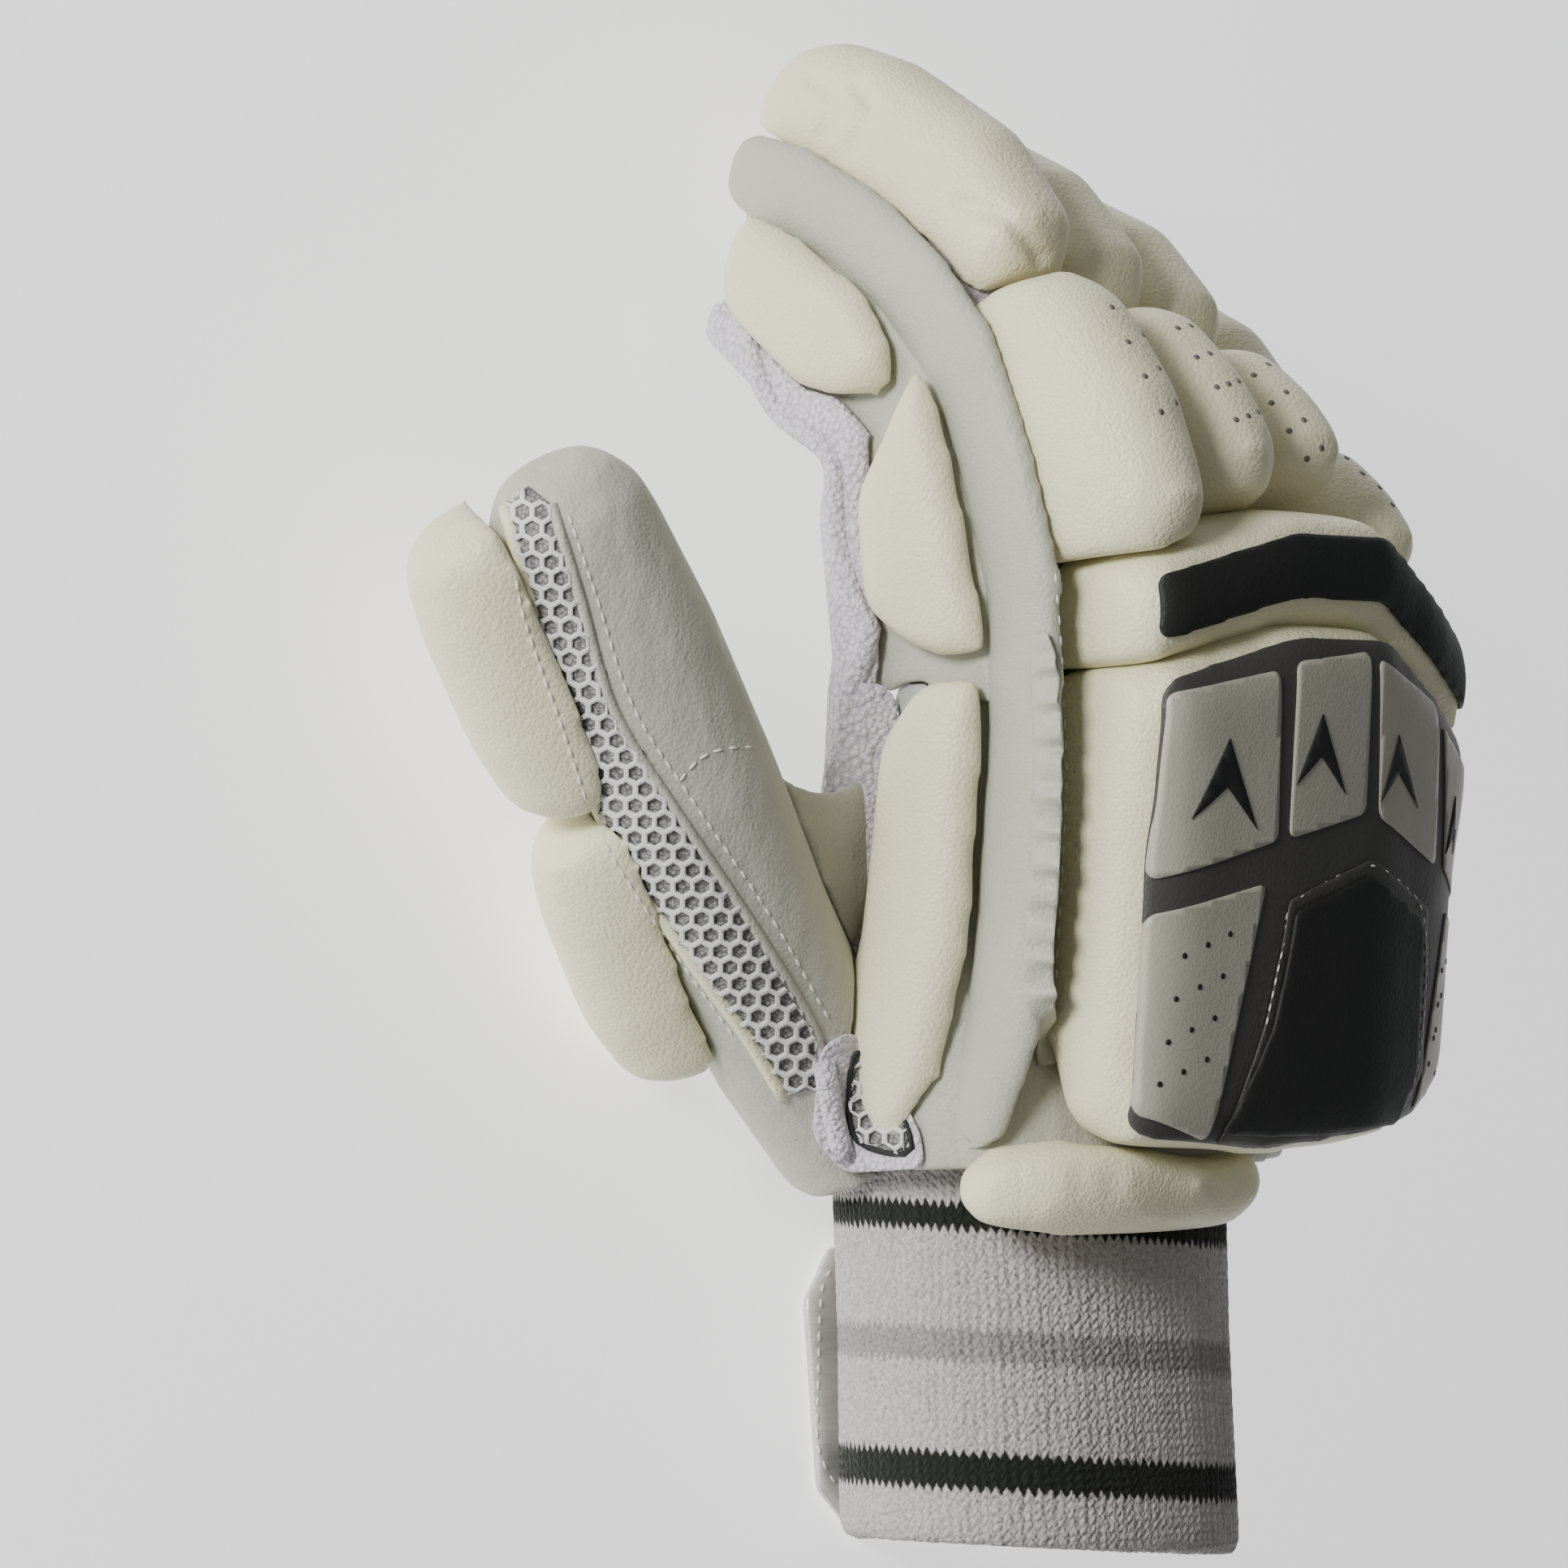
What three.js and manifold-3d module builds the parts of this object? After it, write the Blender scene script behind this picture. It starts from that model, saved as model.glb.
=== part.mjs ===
// Right-hand cricket batting glove, lying on its palm side with the fingers curled.
// Millimetres. +Y runs from the cuff's open end to the fingertips, +Z to the back of the hand,
// and the thumb is on the -X side. The origin is on the resting surface, under the middle.

import * as THREE from 'three';
import { mergeVertices } from 'three/addons/utils/BufferGeometryUtils.js';
import Module from 'manifold-3d';

const wasm = await Module();
wasm.setup();

// Clearance between pieces that are sewn or laid together
const gap = 0.3;

// Depth by which a pad is built into what it sits on, before it is cut to its shape
const seatDepth = 3;

// Squareness of a pad's crown and of a finger's section
const crownPower = 2.7;
const stallPower = 3;

// Walls
const knitWall = 2.6;
const palmWall = 1.8;
const backWall = 2.4;
const towelWall = 2.2;
const capWall = 2;
const thumbWall = 2;

// Cuff and strap
const cuffWidth = 74;
const cuffDepth = 52;
const cuffLength = 70;
const cuffTuck = 8;
const cuffOffset = -11.5;
const cuffPower = 2.2;
const cuffFlat = 2;
const strapFlatEnd = 268;
const strapTurn = 350;
const strapWidth = 48;
const strapThickness = 2.2;
const strapStart = 3;
const strapClip = 9;
const strapReach = 12;

// Palm and back of the hand
const palmLength = 84;
const handDepth = 42;
const handRise = 3;
const liftAngle = THREE.MathUtils.degToRad(5.4);

// Fingers
const stallWidth = 21;
const stallHeight = 24;
const fingerLength = 95;
const fingerSpace = 3;
const fingerPitch = stallWidth + fingerSpace;
const capLength = 9;
const nearRollHeight = 26;
const farRollHeight = 16.5;
const rollSpace = 0.6;
const rollWidth = fingerPitch - rollSpace;
// Each finger's place in finger pitches from the middle of the hand, its knuckle before the knuckle
// line as a share of the palm's length, its rise as a share of the hand's depth, its length as a
// share of the longest, the angles that it leans by and curls through in degrees, and the share of
// its length where its near roll meets its far roll
const FINGER_SHAPES = [
  { name: 'index', place: -1.375, ahead: -0.036, above: 0.095, size: 1, lean: 14, curl: 83, split: 0.55 },
  { name: 'middle', place: -0.375, ahead: 0.036, above: 0.095, size: 0.863, lean: 3, curl: 80, split: 0.49 },
  { name: 'ring', place: 0.625, ahead: 0.036, above: 0.012, size: 0.737, lean: -1, curl: 77, split: 0.48 },
  { name: 'little', place: 1.625, ahead: -0.107, above: -0.119, size: 0.653, lean: 4, curl: 78, split: 0.5 },
];
const FINGERS = FINGER_SHAPES.map((row) => ({
  ...row,
  knuckle: row.ahead * palmLength,
  rise: row.above * handDepth,
  length: row.size * fingerLength,
}));

// Share of the finger's whole curl that is reached at a share of its length
const CURL = [
  { along: 0, turned: 0 },
  { along: 0.2, turned: 0.15 },
  { along: 0.36, turned: 0.33 },
  { along: 0.5, turned: 0.52 },
  { along: 0.62, turned: 0.69 },
  { along: 0.76, turned: 0.86 },
  { along: 0.92, turned: 1 },
];

// Finger stall sections, as shares of its length, width and height
const STALL = [
  { along: 0, width: 1, height: 1 },
  { along: 0.16, width: 1, height: 1 },
  { along: 0.32, width: 1, height: 1 },
  { along: 0.48, width: 0.98, height: 0.99 },
  { along: 0.62, width: 0.97, height: 0.97 },
  { along: 0.76, width: 0.95, height: 0.95 },
  { along: 0.9, width: 0.92, height: 0.92 },
  { along: 1, width: 0.88, height: 0.88 },
];

// Fingertip cap, as shares of the cap's length and of the stall's end
const CAP = [
  { along: 0, size: 1 },
  { along: 0.45, size: 0.93 },
  { along: 0.85, size: 0.68 },
  { along: 1, size: 0.4 },
];

// Padded rolls, as shares of the roll's length, width and height
const NEAR_ROLL = [
  { along: 0, width: 0.8, height: 0.45 },
  { along: 0.08, width: 0.96, height: 0.86 },
  { along: 0.25, width: 1, height: 1 },
  { along: 0.55, width: 1, height: 0.86 },
  { along: 0.84, width: 0.97, height: 0.68 },
  { along: 0.96, width: 0.9, height: 0.5 },
  { along: 1, width: 0.74, height: 0.24 },
];
const FAR_ROLL = [
  { along: 0, width: 0.76, height: 0.35 },
  { along: 0.08, width: 0.93, height: 0.85 },
  { along: 0.3, width: 0.99, height: 1 },
  { along: 0.6, width: 0.98, height: 1 },
  { along: 0.82, width: 0.93, height: 0.94 },
  { along: 0.94, width: 0.8, height: 0.74 },
  { along: 1, width: 0.56, height: 0.42 },
];
const rollTuck = 3;
const rollSplitGap = 0.8;
const farRollReach = 11;

// Knuckle bar, back pad, its panel, shield and insert
const barDepth = 17;
const barDrop = 2;
const barEdge = 4.5;
const insertMargin = 3.6;
const padFloor = 6;
const padRise = 25.5;
const padOverhang = 2.5;
const padShift = 5.5;
const padEdge = 2.8;
const panelThickness = 1.6;
const shieldThickness = 1.2;
const insertThickness = 1.2;
const wristDrop = 7;
const PAD_ARCH = [
  { across: -1, drop: 0.3, wristEdge: 0.1 },
  { across: -0.93, drop: 0.07, wristEdge: 0.04 },
  { across: -0.28, drop: 0, wristEdge: 0.005 },
  { across: 0.22, drop: 0.01, wristEdge: 0.02 },
  { across: 0.66, drop: 0.22, wristEdge: 0.05 },
  { across: 1, drop: 0.46, wristEdge: 0.12 },
];

// Wrist roll and the padded side of the hand
const wristRollHeight = 12;
const wristRollWidth = 13;
const wristRollSet = 3;
const stripWidth = 11.5;
const stripThickness = 5;
const sidePadThickness = 8.5;
const sidePadDepth = 22;
const sideBackingWall = 1.8;
const towelWidth = 9;
const towelThickness = 4;

// Thumb
const thumbWidth = 29;
const thumbPadThickness = 14.5;
const thumbPadWidth = 24;
const thumbCapLength = 12;
const webThickness = 2.4;

// Colours, roughness and metalness
const FINISH = {
  cream: { color: 0xe2ddc7, roughness: 0.5, metalness: 0 },
  white: { color: 0xd4d6c8, roughness: 0.5, metalness: 0 },
  palm: { color: 0xa9aba5, roughness: 0.55, metalness: 0 },
  towel: { color: 0xdcd6dc, roughness: 0.95, metalness: 0 },
  mesh: { color: 0xc8c8c8, roughness: 0.8, metalness: 0 },
  knit: { color: 0xd8d0d0, roughness: 0.95, metalness: 0 },
  black: { color: 0x1f221e, roughness: 0.6, metalness: 0 },
  print: { color: 0xa39a88, roughness: 0.5, metalness: 0 },
  vinyl: { color: 0x8c8a85, roughness: 0.35, metalness: 0.4 },
};

const fullTurn = 360;
const X_AXIS = new THREE.Vector3(1, 0, 0);
const Y_AXIS = new THREE.Vector3(0, 1, 0);
const Z_AXIS = new THREE.Vector3(0, 0, 1);

// Places that follow from the sizes above
const handStart = cuffLength - cuffTuck;
const knuckleLine = handStart + palmLength;
const handHalfWidth = 2 * fingerPitch + 1;
const handTop = handRise + handDepth / 2;
const cuffFloor = -cuffDepth / 2 - handRise + cuffFlat;

function vec(x, y, z) {
  return new THREE.Vector3(x, y, z);
}

// Value of a column between two rows of a table, at a share along it
function between(table, key, share, along = 'along') {
  const last = table.length - 1;
  let row = 1;
  while (row < last && share > table[row][along]) row += 1;
  const low = table[row - 1];
  const high = table[row];
  const part = (share - low[along]) / (high[along] - low[along]);
  return low[key] + (high[key] - low[key]) * part;
}

// Solids

function geometryOf(points, triangles) {
  const geometry = new THREE.BufferGeometry();
  const positions = points.flatMap((p) => [p.x, p.y, p.z]);
  geometry.setAttribute('position', new THREE.Float32BufferAttribute(positions, 3));
  geometry.setIndex(triangles);
  return geometry;
}

function volumeOf(points, triangles) {
  let volume = 0;
  for (let i = 0; i < triangles.length; i += 3) {
    const [a, b, c] = [0, 1, 2].map((k) => points[triangles[i + k]]);
    volume += a.dot(b.clone().cross(c));
  }
  return volume;
}

// Closed solid through rows of points that go once round each section. An arched section has its
// outer points first and its inner points back, and its ends are closed between the two.
function loft(rings, arched = false) {
  const count = rings[0].length;
  const points = rings.flat();
  const triangles = [];
  for (let r = 0; r + 1 < rings.length; r += 1) {
    for (let i = 0; i < count; i += 1) {
      const a = r * count + i;
      const b = r * count + ((i + 1) % count);
      triangles.push(a, b, b + count, a, b + count, a + count);
    }
  }
  for (const end of [0, rings.length - 1]) {
    const face = [];
    const first = end * count;
    if (arched) {
      for (let i = 0; i + 1 < count / 2; i += 1) {
        const j = count - 1 - i;
        face.push([i, i + 1, j - 1], [i, j - 1, j]);
      }
    } else {
      const middle = points.length;
      const centre = rings[end].reduce((sum, p) => sum.add(p), vec(0, 0, 0)).divideScalar(count);
      points.push(centre);
      for (let i = 0; i < count; i += 1) face.push([i, (i + 1) % count, middle - first]);
    }
    for (const [a, b, c] of face) {
      if (end === 0) triangles.push(first + b, first + a, first + c);
      else triangles.push(first + a, first + b, first + c);
    }
  }
  if (volumeOf(points, triangles) < 0) {
    for (let i = 0; i < triangles.length; i += 3) {
      [triangles[i], triangles[i + 1]] = [triangles[i + 1], triangles[i]];
    }
  }
  return solidOf(geometryOf(points, triangles));
}

function solidOf(geometry) {
  const bare = geometry.clone();
  bare.deleteAttribute('normal');
  bare.deleteAttribute('uv');
  const merged = mergeVertices(bare, 1e-4);
  return new wasm.Manifold(
    new wasm.Mesh({
      numProp: 3,
      vertProperties: new Float32Array(merged.attributes.position.array),
      triVerts: new Uint32Array(merged.index.array),
    })
  );
}

function meshOf(name, solid, finish) {
  const { vertProperties, triVerts } = solid.getMesh();
  const geometry = new THREE.BufferGeometry();
  geometry.setAttribute('position', new THREE.BufferAttribute(vertProperties, 3));
  geometry.setIndex(new THREE.BufferAttribute(triVerts, 1));
  geometry.computeVertexNormals();
  const mesh = new THREE.Mesh(geometry, new THREE.MeshStandardMaterial(FINISH[finish]));
  mesh.name = name;
  return mesh;
}

// What is left of a solid once others are cut from it, without the crumbs
function cutBy(solid, ...others) {
  const left = others.reduce((rest, other) => rest.subtract(other), solid);
  const bodies = left.decompose();
  return bodies.reduce((main, body) => (body.volume() > main.volume() ? body : main));
}

// Frames and sections. A frame has a point, a direction along the piece, a direction to its right
// and one that points up out of it.
function frameAt(point, along, up) {
  const right = along.clone().cross(up).normalize();
  return { point, along, right, up: right.clone().cross(along).normalize() };
}

function place(frame, x, z, y = 0) {
  return frame.point
    .clone()
    .addScaledVector(frame.right, x)
    .addScaledVector(frame.up, z)
    .addScaledVector(frame.along, y);
}

function rounded(value, power) {
  return Math.sign(value) * Math.abs(value) ** (2 / power);
}

// Points round a rounded section, between two angles in degrees from its right towards its top
function arcPoints(frame, halfWidth, halfHeight, power, from, to, steps) {
  const points = [];
  for (let i = 0; i <= steps; i += 1) {
    const angle = THREE.MathUtils.degToRad(from + ((to - from) * i) / steps);
    const x = halfWidth * rounded(Math.cos(angle), power);
    const z = halfHeight * rounded(Math.sin(angle), power);
    points.push(place(frame, x, z));
  }
  return points;
}

function ringPoints(frame, halfWidth, halfHeight, power, steps) {
  return arcPoints(frame, halfWidth, halfHeight, power, 0, fullTurn, steps).slice(0, steps);
}

// Outer points one way and inner points back: the section of a wall that is open on one side
function wallPoints(frame, halfWidth, halfHeight, power, wall, from, to, steps) {
  const outer = arcPoints(frame, halfWidth, halfHeight, power, from, to, steps);
  const inner = arcPoints(frame, halfWidth - wall, halfHeight - wall, power, from, to, steps);
  return [...outer, ...inner.reverse()];
}

// Section of a pad with a flat seat and a crowned top, larger all round by what it grows
function crownPoints(frame, halfWidth, height, seat, steps, grow = 0) {
  const points = [];
  for (let i = 0; i <= steps; i += 1) {
    const angle = (Math.PI * i) / steps;
    const x = (halfWidth + grow) * rounded(Math.cos(angle), crownPower);
    const z = seat - grow + (height + 2 * grow) * rounded(Math.sin(angle), crownPower);
    points.push(place(frame, x, z));
  }
  return points;
}

// Hand

const HAND = [
  { along: 0, width: 0.85, depth: 1.41, across: -10 / 49, rise: -5 / 21, slope: 0, power: 2.4 },
  { along: 0.1, width: 0.88, depth: 1.33, across: -9 / 49, rise: -4 / 21, slope: 0, power: 2.4 },
  { along: 0.3, width: 0.97, depth: 1.06, across: -0.08, rise: -0.08, slope: 0.1, power: 2.6 },
  { along: 0.6, width: 1, depth: 1, across: 0, rise: 0, slope: 0.5, power: 2.8 },
  { along: 0.85, width: 1, depth: 0.88, across: 0, rise: 0, slope: 0.85, power: 3 },
  { along: 1, width: 0.99, depth: 0.66, across: 0, rise: 0.12, slope: 1, power: 3.6 },
];

// How far the knuckles lie before or behind the knuckle line, at a place across the hand
function knuckleAt(x) {
  return between(FINGERS, 'knuckle', x / fingerPitch, 'place');
}

function handFrame(row) {
  const x = row.across * handHalfWidth;
  const y = handStart + row.along * palmLength;
  const z = handRise + (row.rise * handDepth) / 2;
  return frameAt(vec(x, y, z), Y_AXIS, Z_AXIS);
}

// Spans of the two walls round the hand, in degrees from the little finger's side over the back
const BACK_SPAN = { from: -10, to: 180, steps: 14 };
const PALM_SPAN = { from: 180.25, to: 349.8, steps: 14 };

function spanPoints(frame, halfWidth, halfDepth, power, span) {
  return arcPoints(frame, halfWidth, halfDepth, power, span.from, span.to, span.steps);
}

// Length that a solid grows by at its two ends, where its share is 0 or 1
function endGrowth(along, grow) {
  if (along === 0) return -grow;
  return along === 1 ? grow : 0;
}

// Section of one wall of the hand, or of the whole hand where no span is given
function handSection(row, wall, span, grow) {
  const frame = handFrame(row);
  const halfWidth = row.width * handHalfWidth + grow;
  const halfDepth = (row.depth * handDepth) / 2 + grow;
  const spans = span ? [span] : [BACK_SPAN, PALM_SPAN];
  const points = spans.flatMap((each) => spanPoints(frame, halfWidth, halfDepth, row.power, each));
  if (span) {
    points.push(...spanPoints(frame, halfWidth - wall, halfDepth - wall, row.power, span).reverse());
  }
  const beyond = endGrowth(row.along, grow);
  for (const p of points) p.y += row.slope * knuckleAt(p.x) + beyond;
  return points;
}

function handWall(wall, span) {
  return loft(HAND.map((row) => handSection(row, wall, span, 0)), true);
}

function handSolid(grow) {
  return loft(HAND.map((row) => handSection(row, 0, null, grow)), true);
}

// Fingers

function fingerPath(finger) {
  const steps = 120;
  const knuckle = knuckleLine + finger.knuckle + gap;
  const lean = THREE.MathUtils.degToRad(finger.lean);
  const curl = THREE.MathUtils.degToRad(finger.curl);
  const x = finger.place * fingerPitch;
  const rows = [];
  let y = knuckle;
  let z = handRise + finger.rise;
  const reach = 1.3;
  for (let i = 0; i <= steps * reach; i += 1) {
    const share = i / steps;
    const turned = share < 0.92 ? between(CURL, 'turned', share) : 1;
    const angle = lean - curl * turned;
    rows.push({ point: vec(x, y, z), along: vec(0, Math.cos(angle), Math.sin(angle)) });
    y += (Math.cos(angle) * finger.length) / steps;
    z += (Math.sin(angle) * finger.length) / steps;
  }
  return (share) => {
    const row = rows[Math.round(share * steps)];
    const up = X_AXIS.clone().cross(row.along);
    return frameAt(row.point.clone(), row.along.clone(), up);
  };
}

const FRONT_SPAN = { from: 207, to: 333 };
const seamGap = 2;

// The knuckle end of a stall follows the slope of the knuckle line
function slopeEnd(points, finger, along) {
  if (along > 0) return points;
  const own = knuckleAt(finger.place * fingerPitch);
  for (const p of points) p.y += knuckleAt(p.x) - own;
  return points;
}

function stallWall(finger, wall, from, to, steps) {
  const path = fingerPath(finger);
  const rings = STALL.map((row) => {
    const halfWidth = (row.width * stallWidth) / 2;
    const halfHeight = (row.height * stallHeight) / 2;
    const frame = path(row.along);
    const points = wallPoints(frame, halfWidth, halfHeight, stallPower, wall, from, to, steps);
    return slopeEnd(points, finger, row.along);
  });
  return loft(rings, true);
}

function stallSolid(finger, grow) {
  const path = fingerPath(finger);
  const end = STALL[STALL.length - 1];
  const rows = [
    ...STALL.map((row) => ({ ...row, beyond: row.along > 0 ? 0 : -grow })),
    ...CAP.slice(1).map((row) => ({
      along: 1,
      beyond: gap + row.along * capLength + grow,
      width: end.width * row.size,
      height: end.height * row.size,
    })),
  ];
  const rings = rows.map((row) => {
    const frame = path(row.along);
    frame.point.addScaledVector(frame.along, row.beyond);
    const halfWidth = (row.width * stallWidth) / 2 + grow;
    const halfHeight = (row.height * stallHeight) / 2 + grow;
    return slopeEnd(ringPoints(frame, halfWidth, halfHeight, stallPower, 20), finger, row.along);
  });
  return loft(rings);
}

function tipCap(frame, halfWidth, halfHeight, power, length, wall, steps) {
  const outer = [];
  const inner = [];
  for (const row of CAP) {
    const out = { ...frame, point: place(frame, 0, 0, gap + row.along * length) };
    outer.push(ringPoints(out, halfWidth * row.size, halfHeight * row.size, power, steps));
    const reach = row.along * (length - wall);
    const into = { ...frame, point: place(frame, 0, 0, gap + (row.along === 0 ? -1 : reach)) };
    const innerWidth = halfWidth * row.size - wall;
    const innerHeight = halfHeight * row.size - wall;
    inner.push(ringPoints(into, innerWidth, innerHeight, power, steps));
  }
  return loft(outer).subtract(loft(inner));
}

function fingerCap(finger) {
  const end = STALL[STALL.length - 1];
  const halfWidth = (end.width * stallWidth) / 2;
  const halfHeight = (end.height * stallHeight) / 2;
  const frame = fingerPath(finger)(1);
  return tipCap(frame, halfWidth, halfHeight, stallPower, capLength, capWall, 16);
}

function fingerRoll(finger, table, from, to, height) {
  const path = fingerPath(finger);
  const seat = stallHeight / 2 - seatDepth;
  const rings = table.map((row) => {
    const frame = path(from + (to - from) * row.along);
    const halfWidth = (row.width * rollWidth) / 2;
    return crownPoints(frame, halfWidth, row.height * height + seatDepth, seat, 9);
  });
  return loft(rings);
}

// Back of the hand

const padBase = handRise + padFloor;

function padTop(across) {
  return handTop + padRise * (1 - between(PAD_ARCH, 'drop', across, 'across'));
}

// Section of a block across the hand, from one place along the fingers to another
function blockSection(x, low, high, base, topLow, topHigh, edge) {
  return [
    vec(x, low, base),
    vec(x, high, base),
    vec(x, high, topHigh - edge),
    vec(x, high - edge * 0.35, topHigh - edge * 0.3),
    vec(x, high - edge, topHigh),
    vec(x, low + edge, topLow),
    vec(x, low + edge * 0.35, topLow - edge * 0.3),
    vec(x, low, topLow - edge),
  ];
}

const padHalfWidth = handHalfWidth + padOverhang;

function padX(across) {
  return padShift + across * (padHalfWidth - padShift);
}

function backPad(grow = 0) {
  const rings = PAD_ARCH.map((row) => {
    const x = padX(row.across) + Math.sign(row.across) * grow;
    const low = handStart + row.wristEdge * palmLength - grow;
    const high = knuckleLine + knuckleAt(x) - gap + grow;
    const crest = padTop(row.across) - panelThickness - gap + grow;
    return blockSection(x, low, high, padBase - grow, crest - wristDrop, crest, padEdge);
  });
  return loft(rings);
}

function layer(rows, thickness, top, inset) {
  return loft(
    rows.map((row) => {
      const x = padX(row.across);
      const low = handStart + row.wristEdge * palmLength + inset;
      const high = knuckleLine + knuckleAt(x) - gap - inset;
      const crest = padTop(row.across) + top;
      const base = crest - thickness;
      return [
        vec(x, low, base - wristDrop),
        vec(x, high, base),
        vec(x, high, crest),
        vec(x, low, crest - wristDrop),
      ];
    })
  );
}

function backPanel(grow = 0) {
  return layer(PAD_ARCH.slice(1), panelThickness + 2 * grow, grow, padEdge - grow);
}

// Shield outline, as shares of the pad's half width and of the palm's length
const SHIELD = [
  { across: 0.1, along: 0.585 },
  { across: 0.52, along: 0.47 },
  { across: 0.5, along: 0.19 },
  { across: 0.34, along: 0.07 },
  { across: -0.5, along: 0.07 },
  { across: -0.32, along: 0.47 },
];

function backShield() {
  const outline = new THREE.Shape(
    SHIELD.map((row) => new THREE.Vector2(padX(row.across), handStart + row.along * palmLength))
  );
  const prism = new THREE.ExtrudeGeometry(outline, { depth: handDepth * 4, bevelEnabled: false });
  const sheet = layer(PAD_ARCH.slice(1), shieldThickness, gap + shieldThickness, padEdge + 1);
  return sheet.intersect(solidOf(prism));
}

function knuckleBar(grow = 0) {
  const rings = PAD_ARCH.map((row) => {
    const x = padX(row.across) + Math.sign(row.across) * grow;
    const near = knuckleLine + knuckleAt(x) + gap - grow;
    const crest = padTop(row.across) - barDrop + grow;
    return blockSection(x, near, near + barDepth + 2 * grow, padBase - grow, crest, crest, barEdge);
  });
  return loft(rings);
}

function knuckleInsert() {
  const rings = PAD_ARCH.slice(1).map((row) => {
    const x = padX(row.across);
    const near = knuckleLine + knuckleAt(x) + insertMargin;
    const far = near + barDepth - 2 * insertMargin;
    const seat = padTop(row.across) - barDrop + gap;
    return [
      vec(x, near, seat),
      vec(x, far, seat),
      vec(x, far, seat + insertThickness),
      vec(x, near, seat + insertThickness),
    ];
  });
  return loft(rings);
}

// Wrist roll, an arch over the hand's wrist end
const WRIST_ROLL = [
  { angle: 62, size: 0.45 },
  { angle: 68, size: 0.8 },
  { angle: 76, size: 1 },
  { angle: 92, size: 1 },
  { angle: 110, size: 1 },
  { angle: 130, size: 1 },
  { angle: 148, size: 0.85 },
  { angle: 158, size: 0.5 },
];

function wristRoll(grow = 0) {
  const row = HAND[0];
  const frame = handFrame(row);
  const halfWidth = row.width * handHalfWidth;
  const halfDepth = (row.depth * handDepth) / 2;
  const rings = WRIST_ROLL.map(({ angle, size }) => {
    const at = THREE.MathUtils.degToRad(angle);
    const x = Math.cos(at);
    const z = Math.sin(at);
    const out = vec(x / halfWidth, 0, z / halfDepth).normalize();
    const point = place(
      frame,
      halfWidth * rounded(x, row.power),
      halfDepth * rounded(z, row.power),
      -wristRollSet
    );
    const round = frameAt(point, out.clone().cross(Y_AXIS).negate(), out);
    const half = (size * wristRollWidth) / 2;
    return crownPoints(round, half, size * wristRollHeight + seatDepth, -seatDepth, 9, grow);
  });
  return loft(rings);
}

// Padded side of the hand, along a line beside the index finger

const sideWall = -handHalfWidth;
const SIDE_LINE = [
  { along: -0.01, rise: 0.2 },
  { along: 0.26, rise: 0.76 },
  { along: 0.66, rise: 0.93 },
  { along: 1.03, rise: 1.03 },
];
const FINGER_SIDE = [
  { along: 0.22, lift: 0.86 },
  { along: 0.4, lift: 0.66 },
  { along: 0.58, lift: 0.42 },
  { along: 0.76, lift: 0.33 },
  { along: 0.9, lift: 0.33 },
  { along: 1.04, lift: 0.33 },
];

function sideLine() {
  const path = fingerPath(FINGERS[0]);
  const hand = SIDE_LINE.map((row) => {
    const y = handStart + row.along * palmLength;
    return vec(0, y, handRise + (row.rise * handDepth) / 2);
  });
  const finger = FINGER_SIDE.map((row) => {
    const frame = path(row.along);
    frame.point.x = 0;
    return place(frame, 0, (row.lift * stallHeight) / 2);
  });
  return new THREE.CatmullRomCurve3([...hand, ...finger]);
}

const sideCurve = sideLine();

// Frame on the side line: right points from the palm to the back of the hand, up points outwards
function sideFrame(share, x) {
  const point = sideCurve.getPointAt(share);
  point.x = x;
  const along = sideCurve.getTangentAt(share);
  return frameAt(point, along, X_AXIS.clone().negate());
}

const SIDE_STRIP = [0.03, 0.06, 0.14, 0.26, 0.38, 0.5, 0.6, 0.7, 0.78, 0.86, 0.94, 1];

function sideStrip() {
  const inner = FINGERS[0].place * fingerPitch - rollWidth / 2 - gap;
  const rings = SIDE_STRIP.map((share, i) => {
    const end = i === 0 || i === SIDE_STRIP.length - 1 ? 0.8 : 1;
    const frame = sideFrame(share, inner);
    return crownPoints(frame, (end * stripWidth) / 2, end * stripThickness, 0, 6);
  });
  return loft(rings);
}

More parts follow.
